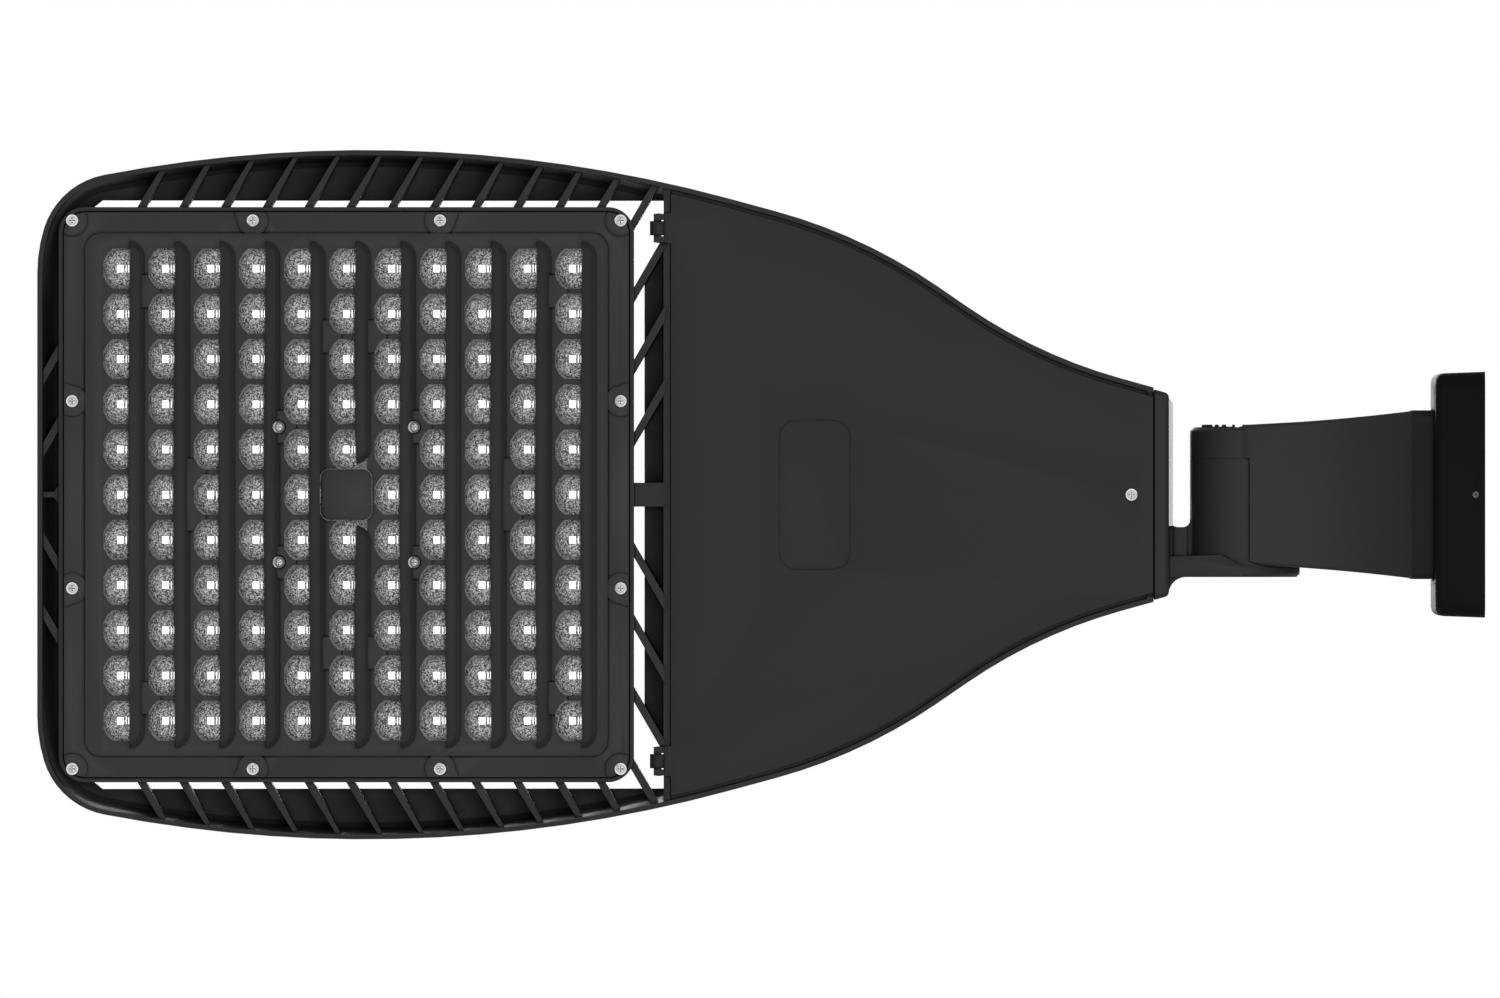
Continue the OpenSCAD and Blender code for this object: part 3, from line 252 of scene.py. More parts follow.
def startGroup(name, inputs, outputs):
    group = bpy.data.node_groups.new(name, "ShaderNodeTree")
    for label, value in inputs.items():
        socket = group.interface.new_socket(name=label, in_out="INPUT", socket_type="NodeSocketFloat")
        socket.default_value = value
    for label in outputs:
        group.interface.new_socket(name=label, in_out="OUTPUT", socket_type="NodeSocketFloat")
    return group, addNode(group, "NodeGroupInput"), addNode(group, "NodeGroupOutput")


def mathNode(tree, operation, first, second=None, clamp=False):
    node = addNode(tree, "ShaderNodeMath", operation=operation, use_clamp=clamp)
    for i, value in enumerate((first, second)):
        if value is None:
            continue
        if isinstance(value, (int, float)):
            node.inputs[i].default_value = value
        else:
            link(tree, value, node.inputs[i])
    return node.outputs[0]


def noiseAt(tree, coordinate, scale, detail=2.0, roughness=0.5):
    noise = addNode(tree, "ShaderNodeTexNoise", {"Detail": detail, "Roughness": roughness})
    link(tree, coordinate, noise.inputs["Vector"])
    if isinstance(scale, (int, float)):
        noise.inputs["Scale"].default_value = scale
    else:
        link(tree, scale, noise.inputs["Scale"])
    return noise.outputs["Fac"]


def stretched(tree, value, low, high, newLow=0.0, newHigh=1.0):
    ends = {"From Min": low, "From Max": high, "To Min": newLow, "To Max": newHigh}
    node = addNode(tree, "ShaderNodeMapRange", ends)
    link(tree, value, node.inputs["Value"])
    return node.outputs["Result"]


def makeGrainGroup():
    # Powder or moulding grain: fine specks, broad waves and a slow drift of tone
    group, given, result = startGroup(
        "surfaceGrain", {"Speck Scale": 1800, "Wave Scale": 420, "Patch Scale": 9}, ["Speck", "Height", "Patch"]
    )
    place = addNode(group, "ShaderNodeTexCoord").outputs["Object"]
    speck = noiseAt(group, place, given.outputs["Speck Scale"], 1.0)
    wave = noiseAt(group, place, given.outputs["Wave Scale"], 2.0)
    patch = noiseAt(group, place, given.outputs["Patch Scale"], 3.0)
    height = mathNode(group, "MULTIPLY", wave, 0.65)
    height = mathNode(group, "ADD", mathNode(group, "MULTIPLY", speck, 0.35), height)
    link(group, stretched(group, speck, 0.3, 0.7), result.inputs["Speck"])
    link(group, height, result.inputs["Height"])
    link(group, stretched(group, patch, 0.35, 0.65), result.inputs["Patch"])
    return group


def makeWearGroup():
    # Thin paint along outer edges, which also carries a painted highlight, broken up by a little noise
    group, given, result = startGroup("edgeWearHighlight", {"Radius": 0.6 * mm, "Break Scale": 160, "Amount": 1.0}, ["Mask"])
    bevel = addNode(group, "ShaderNodeBevel", samples=4)
    link(group, given.outputs["Radius"], bevel.inputs["Radius"])
    surface = addNode(group, "ShaderNodeNewGeometry")
    dot = addNode(group, "ShaderNodeVectorMath", operation="DOT_PRODUCT")
    link(group, bevel.outputs["Normal"], dot.inputs[0])
    link(group, surface.outputs["Normal"], dot.inputs[1])
    edge = stretched(group, dot.outputs["Value"], 0.995, 0.86)
    place = addNode(group, "ShaderNodeTexCoord").outputs["Object"]
    broken = stretched(group, noiseAt(group, place, given.outputs["Break Scale"], 3.0), 0.25, 0.6)
    mask = mathNode(group, "MULTIPLY", edge, broken)
    mask = mathNode(group, "MULTIPLY", mask, given.outputs["Amount"], clamp=True)
    link(group, mask, result.inputs["Mask"])
    return group


def makeDustGroup():
    # Dry dust that settles on faces that look up
    group, given, result = startGroup("settledDust", {"Patch Scale": 24, "Amount": 0.5}, ["Mask"])
    coordinates = addNode(group, "ShaderNodeTexCoord")
    parts = addNode(group, "ShaderNodeSeparateXYZ")
    link(group, coordinates.outputs["Normal"], parts.inputs[0])
    up = stretched(group, parts.outputs["Z"], 0.2, 1.0)
    patch = noiseAt(group, coordinates.outputs["Object"], given.outputs["Patch Scale"], 5.0)
    patch = stretched(group, patch, 0.35, 0.75)
    mask = mathNode(group, "MULTIPLY", up, patch)
    mask = mathNode(group, "MULTIPLY", mask, given.outputs["Amount"], clamp=True)
    link(group, mask, result.inputs["Mask"])
    return group


def makeCreviceGroup():
    # Painted shade in inner corners, in slots and round screw heads, from ambient occlusion
    group, given, result = startGroup("creviceShade", {"Reach": 1.2 * mm, "Amount": 0.8}, ["Mask"])
    hidden = addNode(group, "ShaderNodeAmbientOcclusion", samples=4)
    link(group, given.outputs["Reach"], hidden.inputs["Distance"])
    closed = stretched(group, hidden.outputs["AO"], 0.96, 0.60)
    mask = mathNode(group, "MULTIPLY", closed, given.outputs["Amount"], clamp=True)
    link(group, mask, result.inputs["Mask"])
    return group


grainGroup = makeGrainGroup()
wearGroup = makeWearGroup()
dustGroup = makeDustGroup()
creviceShadeGroup = makeCreviceGroup()
print("shader groups made")


def startMaterial(name):
    material = bpy.data.materials.new(name)
    material.use_nodes = True
    tree = material.node_tree
    tree.nodes.clear()
    shader = addNode(tree, "ShaderNodeBsdfPrincipled")
    out = addNode(tree, "ShaderNodeOutputMaterial")
    link(tree, shader.outputs["BSDF"], out.inputs["Surface"])
    return material, tree, shader


def placeGroup(tree, group, **values):
    node = addNode(tree, "ShaderNodeGroup", node_tree=group)
    for key, value in values.items():
        node.inputs[key].default_value = value
    return node


def mixColour(tree, factor, first, second):
    mix = addNode(tree, "ShaderNodeMix", data_type="RGBA")
    for socket, value in (("Factor", factor), ("A", first), ("B", second)):
        target = [s for s in mix.inputs if s.name == socket and s.enabled][0]
        if isinstance(value, (tuple, list)):
            target.default_value = (*value[:3], 1.0)
        elif isinstance(value, (int, float)):
            target.default_value = value
        else:
            link(tree, value, target)
    return [s for s in mix.outputs if s.enabled][0]


def shade(colour, factor):
    return tuple(c * factor for c in colour)


coatLook = {
    "base": (0.0125, 0.0108, 0.0112),
    "variation": 0.10,        # how much lighter or darker the patches are
    # worn edges that also carry a painted highlight: their colour, strength and width
    "worn": (0.060, 0.058, 0.058),
    "wear": 0.30,
    "wearRadius": 0.4 * mm,
    # painted shade in inner corners: its strength, reach and darkness
    "grime": 0.85,
    "grimeReach": 1.3 * mm,
    "grimeShade": 0.06,       # how dark the painted shade in corners is beside the coat
    "dust": (0.10, 0.095, 0.088),
    "dustAmount": 0.25,
    "roughness": (0.58, 0.68),
    "specular": 0.13,
    "speckScale": 1700,
    "waveScale": 380,
    "bump": 0.04 * mm,
    "bumpStrength": 0.2,
}


def makeCoat(name, **changes):
    # A satin coat or moulded skin: patches, specks, edge wear with a painted highlight, dust, painted shade in
    # corners, grain
    look = {**coatLook, **changes}
    material, tree, shader = startMaterial(name)
    grain = placeGroup(tree, grainGroup, **{"Speck Scale": look["speckScale"], "Wave Scale": look["waveScale"]})
    wear = placeGroup(tree, wearGroup, **{"Radius": look["wearRadius"], "Amount": look["wear"]})
    dust = placeGroup(tree, dustGroup, Amount=look["dustAmount"])
    # Painted shade: ambient occlusion darkens and roughens the coat in inner corners, slots and round screw heads
    grime = placeGroup(tree, creviceShadeGroup, Reach=look["grimeReach"], Amount=look["grime"])
    low, high = shade(look["base"], 1 - look["variation"]), shade(look["base"], 1 + look["variation"])
    colour = mixColour(tree, grain.outputs["Patch"], low, high)
    speck = mathNode(tree, "MULTIPLY", grain.outputs["Speck"], 0.25)
    colour = mixColour(tree, speck, colour, shade(look["base"], 1.6))
    # Edge wear and painted highlight: the edges turn to the lighter worn colour
    colour = mixColour(tree, wear.outputs["Mask"], colour, look["worn"])
    colour = mixColour(tree, dust.outputs["Mask"], colour, look["dust"])
    colour = mixColour(tree, grime.outputs["Mask"], colour, shade(look["base"], look["grimeShade"]))
    link(tree, colour, shader.inputs["Base Color"])
    rough = stretched(tree, grain.outputs["Speck"], 0.0, 1.0, *look["roughness"])
    rough = mathNode(tree, "ADD", rough, mathNode(tree, "MULTIPLY", dust.outputs["Mask"], 0.3))
    rough = mathNode(tree, "ADD", rough, mathNode(tree, "MULTIPLY", grime.outputs["Mask"], 0.5), clamp=True)
    link(tree, rough, shader.inputs["Roughness"])
    shader.inputs["Specular IOR Level"].default_value = look["specular"]
    bump = addNode(tree, "ShaderNodeBump", {"Strength": look["bumpStrength"], "Distance": look["bump"]})
    link(tree, grain.outputs["Height"], bump.inputs["Height"])
    link(tree, bump.outputs["Normal"], shader.inputs["Normal"])
    return material


housingCoat = makeCoat("housingCoat")
doorCoat = makeCoat("doorCoat", base=(0.0122, 0.0098, 0.0106), variation=0.07, speckScale=1500)
armCoat = makeCoat("armCoat", base=(0.0125, 0.0110, 0.0114), waveScale=300)
flangeCoat = makeCoat("flangeCoat", base=(0.0080, 0.0078, 0.0080), worn=(0.03, 0.03, 0.03), specular=0.05)
polishedCoat = makeCoat(
    "polishedCoat", wear=0.1, grime=0.4, roughness=(0.08, 0.14), specular=0.6, bumpStrength=0.05,
)
plateCoat = makeCoat(
    "plateCoat", base=(0.0036, 0.0036, 0.0036), variation=0.25, worn=(0.010, 0.010, 0.010), specular=0.02,
)
shieldLook = {
    "base": (0.0245, 0.0234, 0.0236),
    "wear": 0.2,
    "wearRadius": 0.3 * mm,
    "roughness": (0.42, 0.50),
    "specular": 0.04,
    "speckScale": 2300,
    "waveScale": 900,
    "bump": 0.03 * mm,
    "dustAmount": 0.1,
}
shieldSkin = makeCoat("shieldSkin", **{**shieldLook, "variation": 0.08, "grimeReach": 1.6 * mm, "grime": 1.0})
sealRubber = makeCoat(
    "sealRubber", base=(0.0030, 0.0030, 0.0030), variation=0.3, wear=0.1, roughness=(0.7, 0.85), dustAmount=0.1,
)
print("coats mixed")


steelLook = {
    "base": (0.55, 0.55, 0.54),
    "dark": (0.30, 0.30, 0.29),
    "roughness": (0.24, 0.42),
    "metallic": 0.85,
    # painted highlight along the edges
    "edgeHighlight": (0.86, 0.86, 0.84),
}


def makeSteel(name, **changes):
    # Zinc-plated steel: faint rings, blotches of passivation and a painted highlight along the edges
    look = {**steelLook, **changes}
    material, tree, shader = startMaterial(name)
    grain = placeGroup(tree, grainGroup, **{"Speck Scale": 2600, "Wave Scale": 900, "Patch Scale": 240})
    wear = placeGroup(tree, wearGroup, **{"Radius": 0.25 * mm, "Break Scale": 900, "Amount": 0.7})
    colour = mixColour(tree, grain.outputs["Patch"], shade(look["base"], 0.82), look["base"])
    colour = mixColour(tree, mathNode(tree, "MULTIPLY", grain.outputs["Speck"], 0.25), colour, look["dark"])
    # Painted highlight: the edges turn to the bright colour
    colour = mixColour(tree, wear.outputs["Mask"], colour, look["edgeHighlight"])
    link(tree, colour, shader.inputs["Base Color"])
    link(tree, stretched(tree, grain.outputs["Speck"], 0.0, 1.0, *look["roughness"]), shader.inputs["Roughness"])
    shader.inputs["Metallic"].default_value = look["metallic"]
    bump = addNode(tree, "ShaderNodeBump", {"Strength": 0.2, "Distance": 0.02 * mm})
    link(tree, grain.outputs["Height"], bump.inputs["Height"])
    link(tree, bump.outputs["Normal"], shader.inputs["Normal"])
    return material


zincSteel = makeSteel("zincSteel")
# A bright copy of the zinc steel for the screw heads' rims: painted highlight
rimHighlightSteel = makeSteel("rimHighlightSteel", base=(0.90, 0.90, 0.89), dark=(0.6, 0.6, 0.6))
# A dark copy of the steel for the cross recesses: painted shade
recessShadeSteel = makeSteel("recessShadeSteel", base=(0.09, 0.09, 0.09), dark=(0.04, 0.04, 0.04), roughness=(0.4, 0.6))
darkSteel = makeSteel("darkSteel", base=(0.03, 0.03, 0.03), dark=(0.012, 0.012, 0.012), roughness=(0.35, 0.5))
greenZinc = makeSteel("greenZinc", base=(0.10, 0.42, 0.14), dark=(0.04, 0.2, 0.06), metallic=0.5)
driverSheet = makeSteel("driverSheet", base=(0.58, 0.58, 0.56), roughness=(0.36, 0.52))

lensLook = {
    "low": (0.03, 0.031, 0.030),
    "high": (0.50, 0.51, 0.50),
    "speckScale": 1250,
    "grainScale": 2000,
    "contrast": 1.8,
    "coat": 0.1,
}


def makeLensSkin(name, **changes):
    # Clear plastic with a fine prismatic grain: grey specks under a glossy skin
    look = {**lensLook, **changes}
    material, tree, shader = startMaterial(name)
    place = addNode(tree, "ShaderNodeTexCoord").outputs["Object"]
    fine = noiseAt(tree, place, look["speckScale"], 2.0, 0.7)
    cells = addNode(tree, "ShaderNodeTexVoronoi", {"Scale": look["grainScale"]})
    link(tree, place, cells.inputs["Vector"])
    speck = stretched(tree, cells.outputs["Color"], 0.2, 0.8)
    curve = mathNode(tree, "POWER", speck, look["contrast"])
    colour = mixColour(tree, curve, look["low"], look["high"])
    link(tree, colour, shader.inputs["Base Color"])
    link(tree, stretched(tree, fine, 0.3, 0.7, 0.45, 0.65), shader.inputs["Roughness"])
    shader.inputs["Specular IOR Level"].default_value = 0.2
    shader.inputs["Coat Weight"].default_value = look["coat"]
    shader.inputs["Coat Roughness"].default_value = 0.3
    bump = addNode(tree, "ShaderNodeBump", {"Strength": 0.35, "Distance": 0.05 * mm})
    link(tree, fine, bump.inputs["Height"])
    link(tree, bump.outputs["Normal"], shader.inputs["Normal"])
    return material


def makeGlow():
    # Painted glow: the lit image of the LED package, painted onto the lens dome as an emitting patch
    material, tree, shader = startMaterial("packageGlow")
    place = addNode(tree, "ShaderNodeTexCoord").outputs["Object"]
    drift = noiseAt(tree, place, 300, 1.0)
    colour = mixColour(tree, drift, (0.96, 0.96, 0.93), (1.0, 1.0, 0.99))
    link(tree, colour, shader.inputs["Base Color"])
    link(tree, colour, shader.inputs["Emission Color"])
    shader.inputs["Emission Strength"].default_value = 1.1
    shader.inputs["Roughness"].default_value = 0.2
    return material


lensSkin = makeLensSkin("lensSkin")
# A darker copy of the lens skin for the sheet's flat faces: painted shade
shadedSheetSkin = makeLensSkin("shadedSheetSkin", low=(0.012, 0.012, 0.012), high=(0.10, 0.10, 0.10))
packageGlow = makeGlow()


def makePlain(name, base, variation, roughness, speckScale=1200, specular=0.5):
    # Small inner pieces: tone patches, specks and a light grain
    return makeCoat(
        name, base=base, variation=variation, wear=0.15, worn=shade(base, 1.5), roughness=roughness,
        speckScale=speckScale, specular=specular, dustAmount=0.05,
    )


boardMask = makePlain("boardMask", (0.68, 0.70, 0.67), 0.05, (0.3, 0.4))
phosphor = makePlain("phosphor", (0.85, 0.66, 0.12), 0.08, (0.4, 0.55), 3000)
blackCase = makePlain("blackCase", (0.008, 0.008, 0.009), 0.25, (0.35, 0.5))
creamPlastic = makePlain("creamPlastic", (0.66, 0.65, 0.58), 0.06, (0.35, 0.45))
wireSleeve = makePlain("wireSleeve", (0.010, 0.010, 0.010), 0.2, (0.5, 0.65))
print("materials ready")


# --- lens sheet --------------------------------------------------------------------
trayMiddle = -568.6 * mm
lensShape = {
    "pitch": 22.6 * mm,
    "count": 11,
    "first": (-679.9 * mm, -113 * mm),
    "radius": 10.15 * mm,
    "rise": 6 * mm,
    "base": -32.4 * mm,
    "sink": 0.5 * mm,         # how far each dome's solid runs into the sheet
    "thickness": 2.5 * mm,
    "middle": trayMiddle,
    "segments": 28,
    "rings": 32,
    # painted glow on each dome: the package's square and two thin stripes of its refracted image, between these x
    # offsets
    "glowX": (-3.25 * mm, -0.1 * mm, 1.15 * mm, 1.5 * mm, 2.4 * mm, 2.7 * mm),
    "glowHalf": 1.8 * mm,
    "sheet": 281.5 * mm,
    "sheetCorner": 9.5 * mm,
}


def modelDome(shape):
    # One cap of a sphere, cut along the LED image's edges
    ball = (shape["radius"] ** 2 + shape["rise"] ** 2) / (2 * shape["rise"])
    x, y = shape["first"]
    bpy.ops.mesh.primitive_uv_sphere_add(
        segments=shape["segments"], ring_count=shape["rings"], radius=ball,
        location=(x, y, shape["base"] - shape["rise"] + ball),
    )
    dome = settle(named("lensDome"))
    editAll(dome)
    cutHeight = shape["base"] + shape["sink"]
    bpy.ops.mesh.bisect(plane_co=(x, y, cutHeight), plane_no=(0, 0, 1), use_fill=True, clear_outer=True)
    for offset in shape["glowX"]:
        bpy.ops.mesh.select_all(action="SELECT")
        bpy.ops.mesh.bisect(plane_co=(x + offset, y, 0), plane_no=(1, 0, 0))
    for side in (-1, 1):
        bpy.ops.mesh.select_all(action="SELECT")
        bpy.ops.mesh.bisect(plane_co=(x, y + side * shape["glowHalf"], 0), plane_no=(0, 1, 0))
    bpy.ops.mesh.select_all(action="SELECT")
    bpy.ops.mesh.remove_doubles(threshold=0.01 * mm)
    bpy.ops.mesh.normals_make_consistent(inside=False)
    leaveEdit()
    dome.data.materials.append(lensSkin)
    dome.data.materials.append(packageGlow)
    bands = list(zip(shape["glowX"][::2], shape["glowX"][1::2]))
    for face in dome.data.polygons:
        dx, dy = face.center.x - x, face.center.y - y
        inBand = any(a < dx < b for a, b in bands)
        face.material_index = int(inBand and abs(dy) < shape["glowHalf"] and face.normal.z < -0.5)
    return dome


def modelLensSheet(shape):
    dome = modelDome(shape)
    for axis in (0, 1):
        row = dome.modifiers.new("row", "ARRAY")
        row.count = shape["count"]
        row.use_relative_offset = False
        row.use_constant_offset = True
        row.constant_offset_displace = [shape["pitch"] * (i == axis) for i in range(3)]
        applyLast(dome)
    half = (shape["count"] - 1) / 2 * shape["pitch"]
    middle = Vector((shape["first"][0] + half, shape["first"][1] + half, 0))
    editFaces(dome, lambda face: (face.center.xy - middle.xy).length < shape["radius"] * 1.05)
    bpy.ops.mesh.delete(type="FACE")
    leaveEdit()
    bpy.ops.mesh.primitive_cube_add(size=1, location=(shape["middle"], 0, shape["base"] + shape["thickness"] / 2))
    sheet = named("lensSheet")
    sheet.scale = (shape["sheet"], shape["sheet"], shape["thickness"])
    settle(sheet)
    editEdges(sheet, lambda a, b: abs(a.z - b.z) > mm)
    bpy.ops.mesh.bevel(offset=shape["sheetCorner"], segments=6)
    # Tiles, so that no face takes more than one dome
    for axis in (0, 1):
        normal = [float(i == axis) for i in range(3)]
        for line in range(shape["count"] + 1):
            cutAt = [shape["first"][i] + (line - 0.5) * shape["pitch"] * (i == axis) for i in (0, 1)] + [0]
            bpy.ops.mesh.select_all(action="SELECT")
            bpy.ops.mesh.bisect(plane_co=cutAt, plane_no=normal)
    leaveEdit()
    for skin in (lensSkin, packageGlow, shadedSheetSkin):
        sheet.data.materials.append(skin)
    carve(sheet, dome, "UNION")
    smooth(sheet, 30)
    # Painted shade: the sheet's flat faces take the darker copy of the lens skin
    for face in sheet.data.polygons:
        if abs(face.center.z - shape["base"]) < 0.01 * mm:
            face.material_index = 2
    return sheet


finished(modelLensSheet(lensShape), lensSkin, "lens_plate", ["lens_plate"])
print("lens sheet modelled")


# --- screws ------------------------------------------------------------------------
panHead = {
    "radius": 3.05 * mm,
    "height": 2.0 * mm,
    "edge": 0.7 * mm,         # straight part of the head's side
    "rim": 0.80,              # the painted highlight on the rim starts at this share of the radius
    "crossWidth": 0.85 * mm,
    "crossReach": 2.15 * mm,
    "crossDepth": 1.2 * mm,
    "crossTaper": (0.5, 0.7, 1),
    "bevel": 0.10 * mm,
    "segments": 40,
    "rings": 48,
}


def modelPanScrew(head, shankRadius, shankLength, size, finish):
    # Head down, its underside at the origin, shank up
    radius, height = head["radius"] * size, head["height"] * size
    domeRise = height - head["edge"]
    ball = (radius ** 2 + domeRise ** 2) / (2 * domeRise)
    bpy.ops.mesh.primitive_uv_sphere_add(
        segments=head["segments"], ring_count=head["rings"], radius=ball, location=(0, 0, ball - height)
    )
    screw = settle(named("screw"))
    editAll(screw)
    bpy.ops.mesh.bisect(plane_co=(0, 0, domeRise - height), plane_no=(0, 0, 1), clear_outer=True)
    leaveEdit()
    rim = -head["edge"]
    editEdges(screw, lambda a, b: abs(a.z - rim) < 0.01 * mm and abs(b.z - rim) < 0.01 * mm)
    bpy.ops.mesh.extrude_region_move(TRANSFORM_OT_translate={"value": (0, 0, head["edge"])})
    share = shankRadius / radius
    bpy.ops.mesh.extrude_region_move(TRANSFORM_OT_translate={"value": (0, 0, 0)})
    bpy.ops.transform.resize(value=(share, share, 1), center_override=(0, 0, 0))
    bpy.ops.mesh.extrude_region_move(TRANSFORM_OT_translate={"value": (0, 0, shankLength)})
    bpy.ops.mesh.edge_face_add()
    bpy.ops.mesh.select_all(action="SELECT")
    bpy.ops.mesh.remove_doubles(threshold=0.005 * mm)
    bpy.ops.mesh.normals_make_consistent(inside=False)
    leaveEdit()
    for skin in (finish, recessShadeSteel, rimHighlightSteel):
        screw.data.materials.append(skin)
    for face in screw.data.polygons:
        # Painted highlight: the outer rim of a zinc head takes the bright copy of its steel
        onHighlightRim = face.center.z < 0 and face.center.xy.length > head["rim"] * radius and finish is zincSteel
        face.material_index = 2 if onHighlightRim else 0
    for turn in (0, 90):
        bpy.ops.mesh.primitive_cube_add(size=1, location=(0, 0, -height))
        cutter = named("crossCutter")
        cutter.scale = (2 * head["crossReach"] * size, head["crossWidth"] * size, 2 * head["crossDepth"] * size)
        settle(cutter)
        editFaces(cutter, lambda face: face.normal.z > 0.5)
        bpy.ops.transform.resize(value=head["crossTaper"], center_override=(0, 0, 0))
        bpy.ops.mesh.select_all(action="SELECT")
        bpy.ops.transform.rotate(value=math.radians(turn), orient_axis="Z", center_override=(0, 0, 0))
        leaveEdit()
        for skin in (finish, recessShadeSteel):
            cutter.data.materials.append(skin)
        # Painted shade: the faces of the cross recess take the dark steel
        for face in cutter.data.polygons:
            face.material_index = 1
        carve(screw, cutter)
    roundEdges(screw, head["bevel"], 40)
    smooth(screw, 32)
    return screw


def screwSet(name, node, places, shankRadius, shankLength, size, finish):
    screw = modelPanScrew(panHead, shankRadius, shankLength, size, finish)
    copies = [duplicated(screw, place) for place in places]
    bpy.data.objects.remove(screw)
    return finished(joined(copies, name), finish, node, [node])


screwPlaces = {
    "edgeFar": 137.1 * mm,
    "edgeNear": 46.8 * mm,
    "edgeHeight": -35.4 * mm,
    "inner": 33.8 * mm,
    "innerHeight": -35.8 * mm,
    "door": (-176 * mm, 0, -34 * mm),
    "driverX": (-363.5 * mm, -289.5 * mm),
    "driverY": 69 * mm,
    "driverZ": 27 * mm,
    "ground": (-206 * mm, 32 * mm, 22 * mm),
}


def shieldPlaces(places):
    far, near = places["edgeFar"], places["edgeNear"]
    corners = [(far, far), (far, near), (near, far)]
    return [
        Vector((trayMiddle + a * x, b * y, places["edgeHeight"]))
        for a in (-1, 1) for b in (-1, 1) for x, y in corners
    ]


def innerPlaces(places):
    return [
        Vector((trayMiddle + a * places["inner"], b * places["inner"], places["innerHeight"]))
        for a in (-1, 1) for b in (-1, 1)
    ]


def driverPlaces(places):
    return [Vector((x, side * places["driverY"], places["driverZ"])) for x in places["driverX"] for side in (-1, 1)]


screwSets = {
    # name: (node, places, shank radius, shank length, size of the head, finish)
    "shieldScrews": ("shield_screws", shieldPlaces(screwPlaces), 1.95 * mm, 10.5 * mm, 1.0, zincSteel),
    "opticScrews": ("optic_screws", innerPlaces(screwPlaces), 1.95 * mm, 12 * mm, 1.0, zincSteel),
    "doorScrew": ("door_screw", [Vector(screwPlaces["door"])], 2.45 * mm, 20 * mm, 1.0, zincSteel),
    "driverScrews": ("driver_screws", driverPlaces(screwPlaces), 1.95 * mm, 8 * mm, 1.0, zincSteel),
    "groundScrew": ("ground_screw", [Vector(screwPlaces["ground"])], 1.95 * mm, 5.5 * mm, 1.28, greenZinc),
}
for name, values in screwSets.items():
    screwSet(name, *values)
print("screws modelled")


# --- dressed castings ----------------------------------------------------------------
dressing = {
    # node: (piece, finish, edge width)
    "housing": ("castHousing", housingCoat, 0.30 * mm),
    "driver_door": ("doorPanel", doorCoat, 0.30 * mm),
    "centre_cap": ("shieldCap", shieldSkin, 0.8 * mm),
    "pole_plate": ("polePlate", plateCoat, 0.3 * mm),
    "pole_bracket": ("poleBracket", zincSteel, 0.5 * mm),
    "tilt_bolt": ("tiltBolt", zincSteel, 0.3 * mm),
    "tilt_nut": ("tiltNut", zincSteel, 0.4 * mm),
    "bracket_bolts": ("bracketBolts", zincSteel, 0.3 * mm),
    "arm_bolts": ("armBolts", zincSteel, 0.3 * mm),
    "hinge_pins": ("hingePins", darkSteel, 0.2 * mm),
    "driver_front": ("frontDriver", driverSheet, 0.8 * mm),
    "driver_rear": ("rearDriver", driverSheet, 0.8 * mm),
    "surge_protector": ("surgeCase", blackCase, 1.2 * mm),
    "terminal_block": ("terminalBlock", creamPlastic, 0.5 * mm),
    "wire_bushing": ("wireBushing", sealRubber, 0.5 * mm),
    "set_screw": ("setScrew", darkSteel, 0.15 * mm),
}


def dress(node, name, finish, width):
    piece = copyOfNode(node, name)
    roundEdges(piece, width)
    smooth(piece, 30)
    return finished(piece, finish, node, [node])


for node, (name, finish, width) in dressing.items():
    dress(node, name, finish, width)
    print("dressed", name)


# --- light shield ------------------------------------------------------------------
shieldShape = {
    "edge": 0.25 * mm,
    "holes": (137.1 * mm, 46.8 * mm, 33.8 * mm),   # screw rows, each side of the tray's middle
    "crownHeight": -41.2 * mm,
    # how dark the hood crowns are painted: painted shade
    "crownShade": 0.60,
}
shadedCrownBase = shade(shieldLook["base"], shieldShape["crownShade"])
shadedRidgeCrown = makeCoat("shadedRidgeCrown", **{**shieldLook, "base": shadedCrownBase, "variation": 0.16})


def dressShield(shape, lens):
    # A line through every hole keeps the flat faces simple
    rows = [lens["first"][0] + i * lens["pitch"] for i in range(lens["count"])]
    rows += [lens["middle"] + side * hole for side in (-1, 1) for hole in shape["holes"]]
    shield = copyOfNode("light_shield", "shieldGrille", rows)
    roundEdges(shield, shape["edge"])
    smooth(shield, 30)
    shield.data.materials.append(shieldSkin)
    shield.data.materials.append(shadedRidgeCrown)
    # Painted shade: the hood crowns take a darker copy of the shield's skin
    for face in shield.data.polygons:
        face.material_index = int(face.center.z < shape["crownHeight"])
    return finished(shield, shieldSkin, "light_shield", ["light_shield"])


dressShield(shieldShape, lensShape)
print("light shield dressed")


# --- neck bracket and arm --------------------------------------------------------------
neckShape = {
    "plateBack": -157.3 * mm,
    "plateCorner": (49.6 * mm, 27 * mm, -3 * mm),   # where its round corners start, and its middle height
    "taper": 0.963,           # the plate narrows to this share at its back, as the head does
    "edge": 0.35 * mm,
    "backEdge": 1.9 * mm,
    "cornerRadius": 3 * mm,
    "turningFace": -18.84 * mm,
    "padSide": (12 * mm, 0.05),
}
armShape = {
    "edge": 0.4 * mm,
    "pocketEnd": -108 * mm,   # edges round the barrel's pocket stay crisp before this
    "cheekFace": -18.5 * mm,
    "flangeFront": -36 * mm,
}


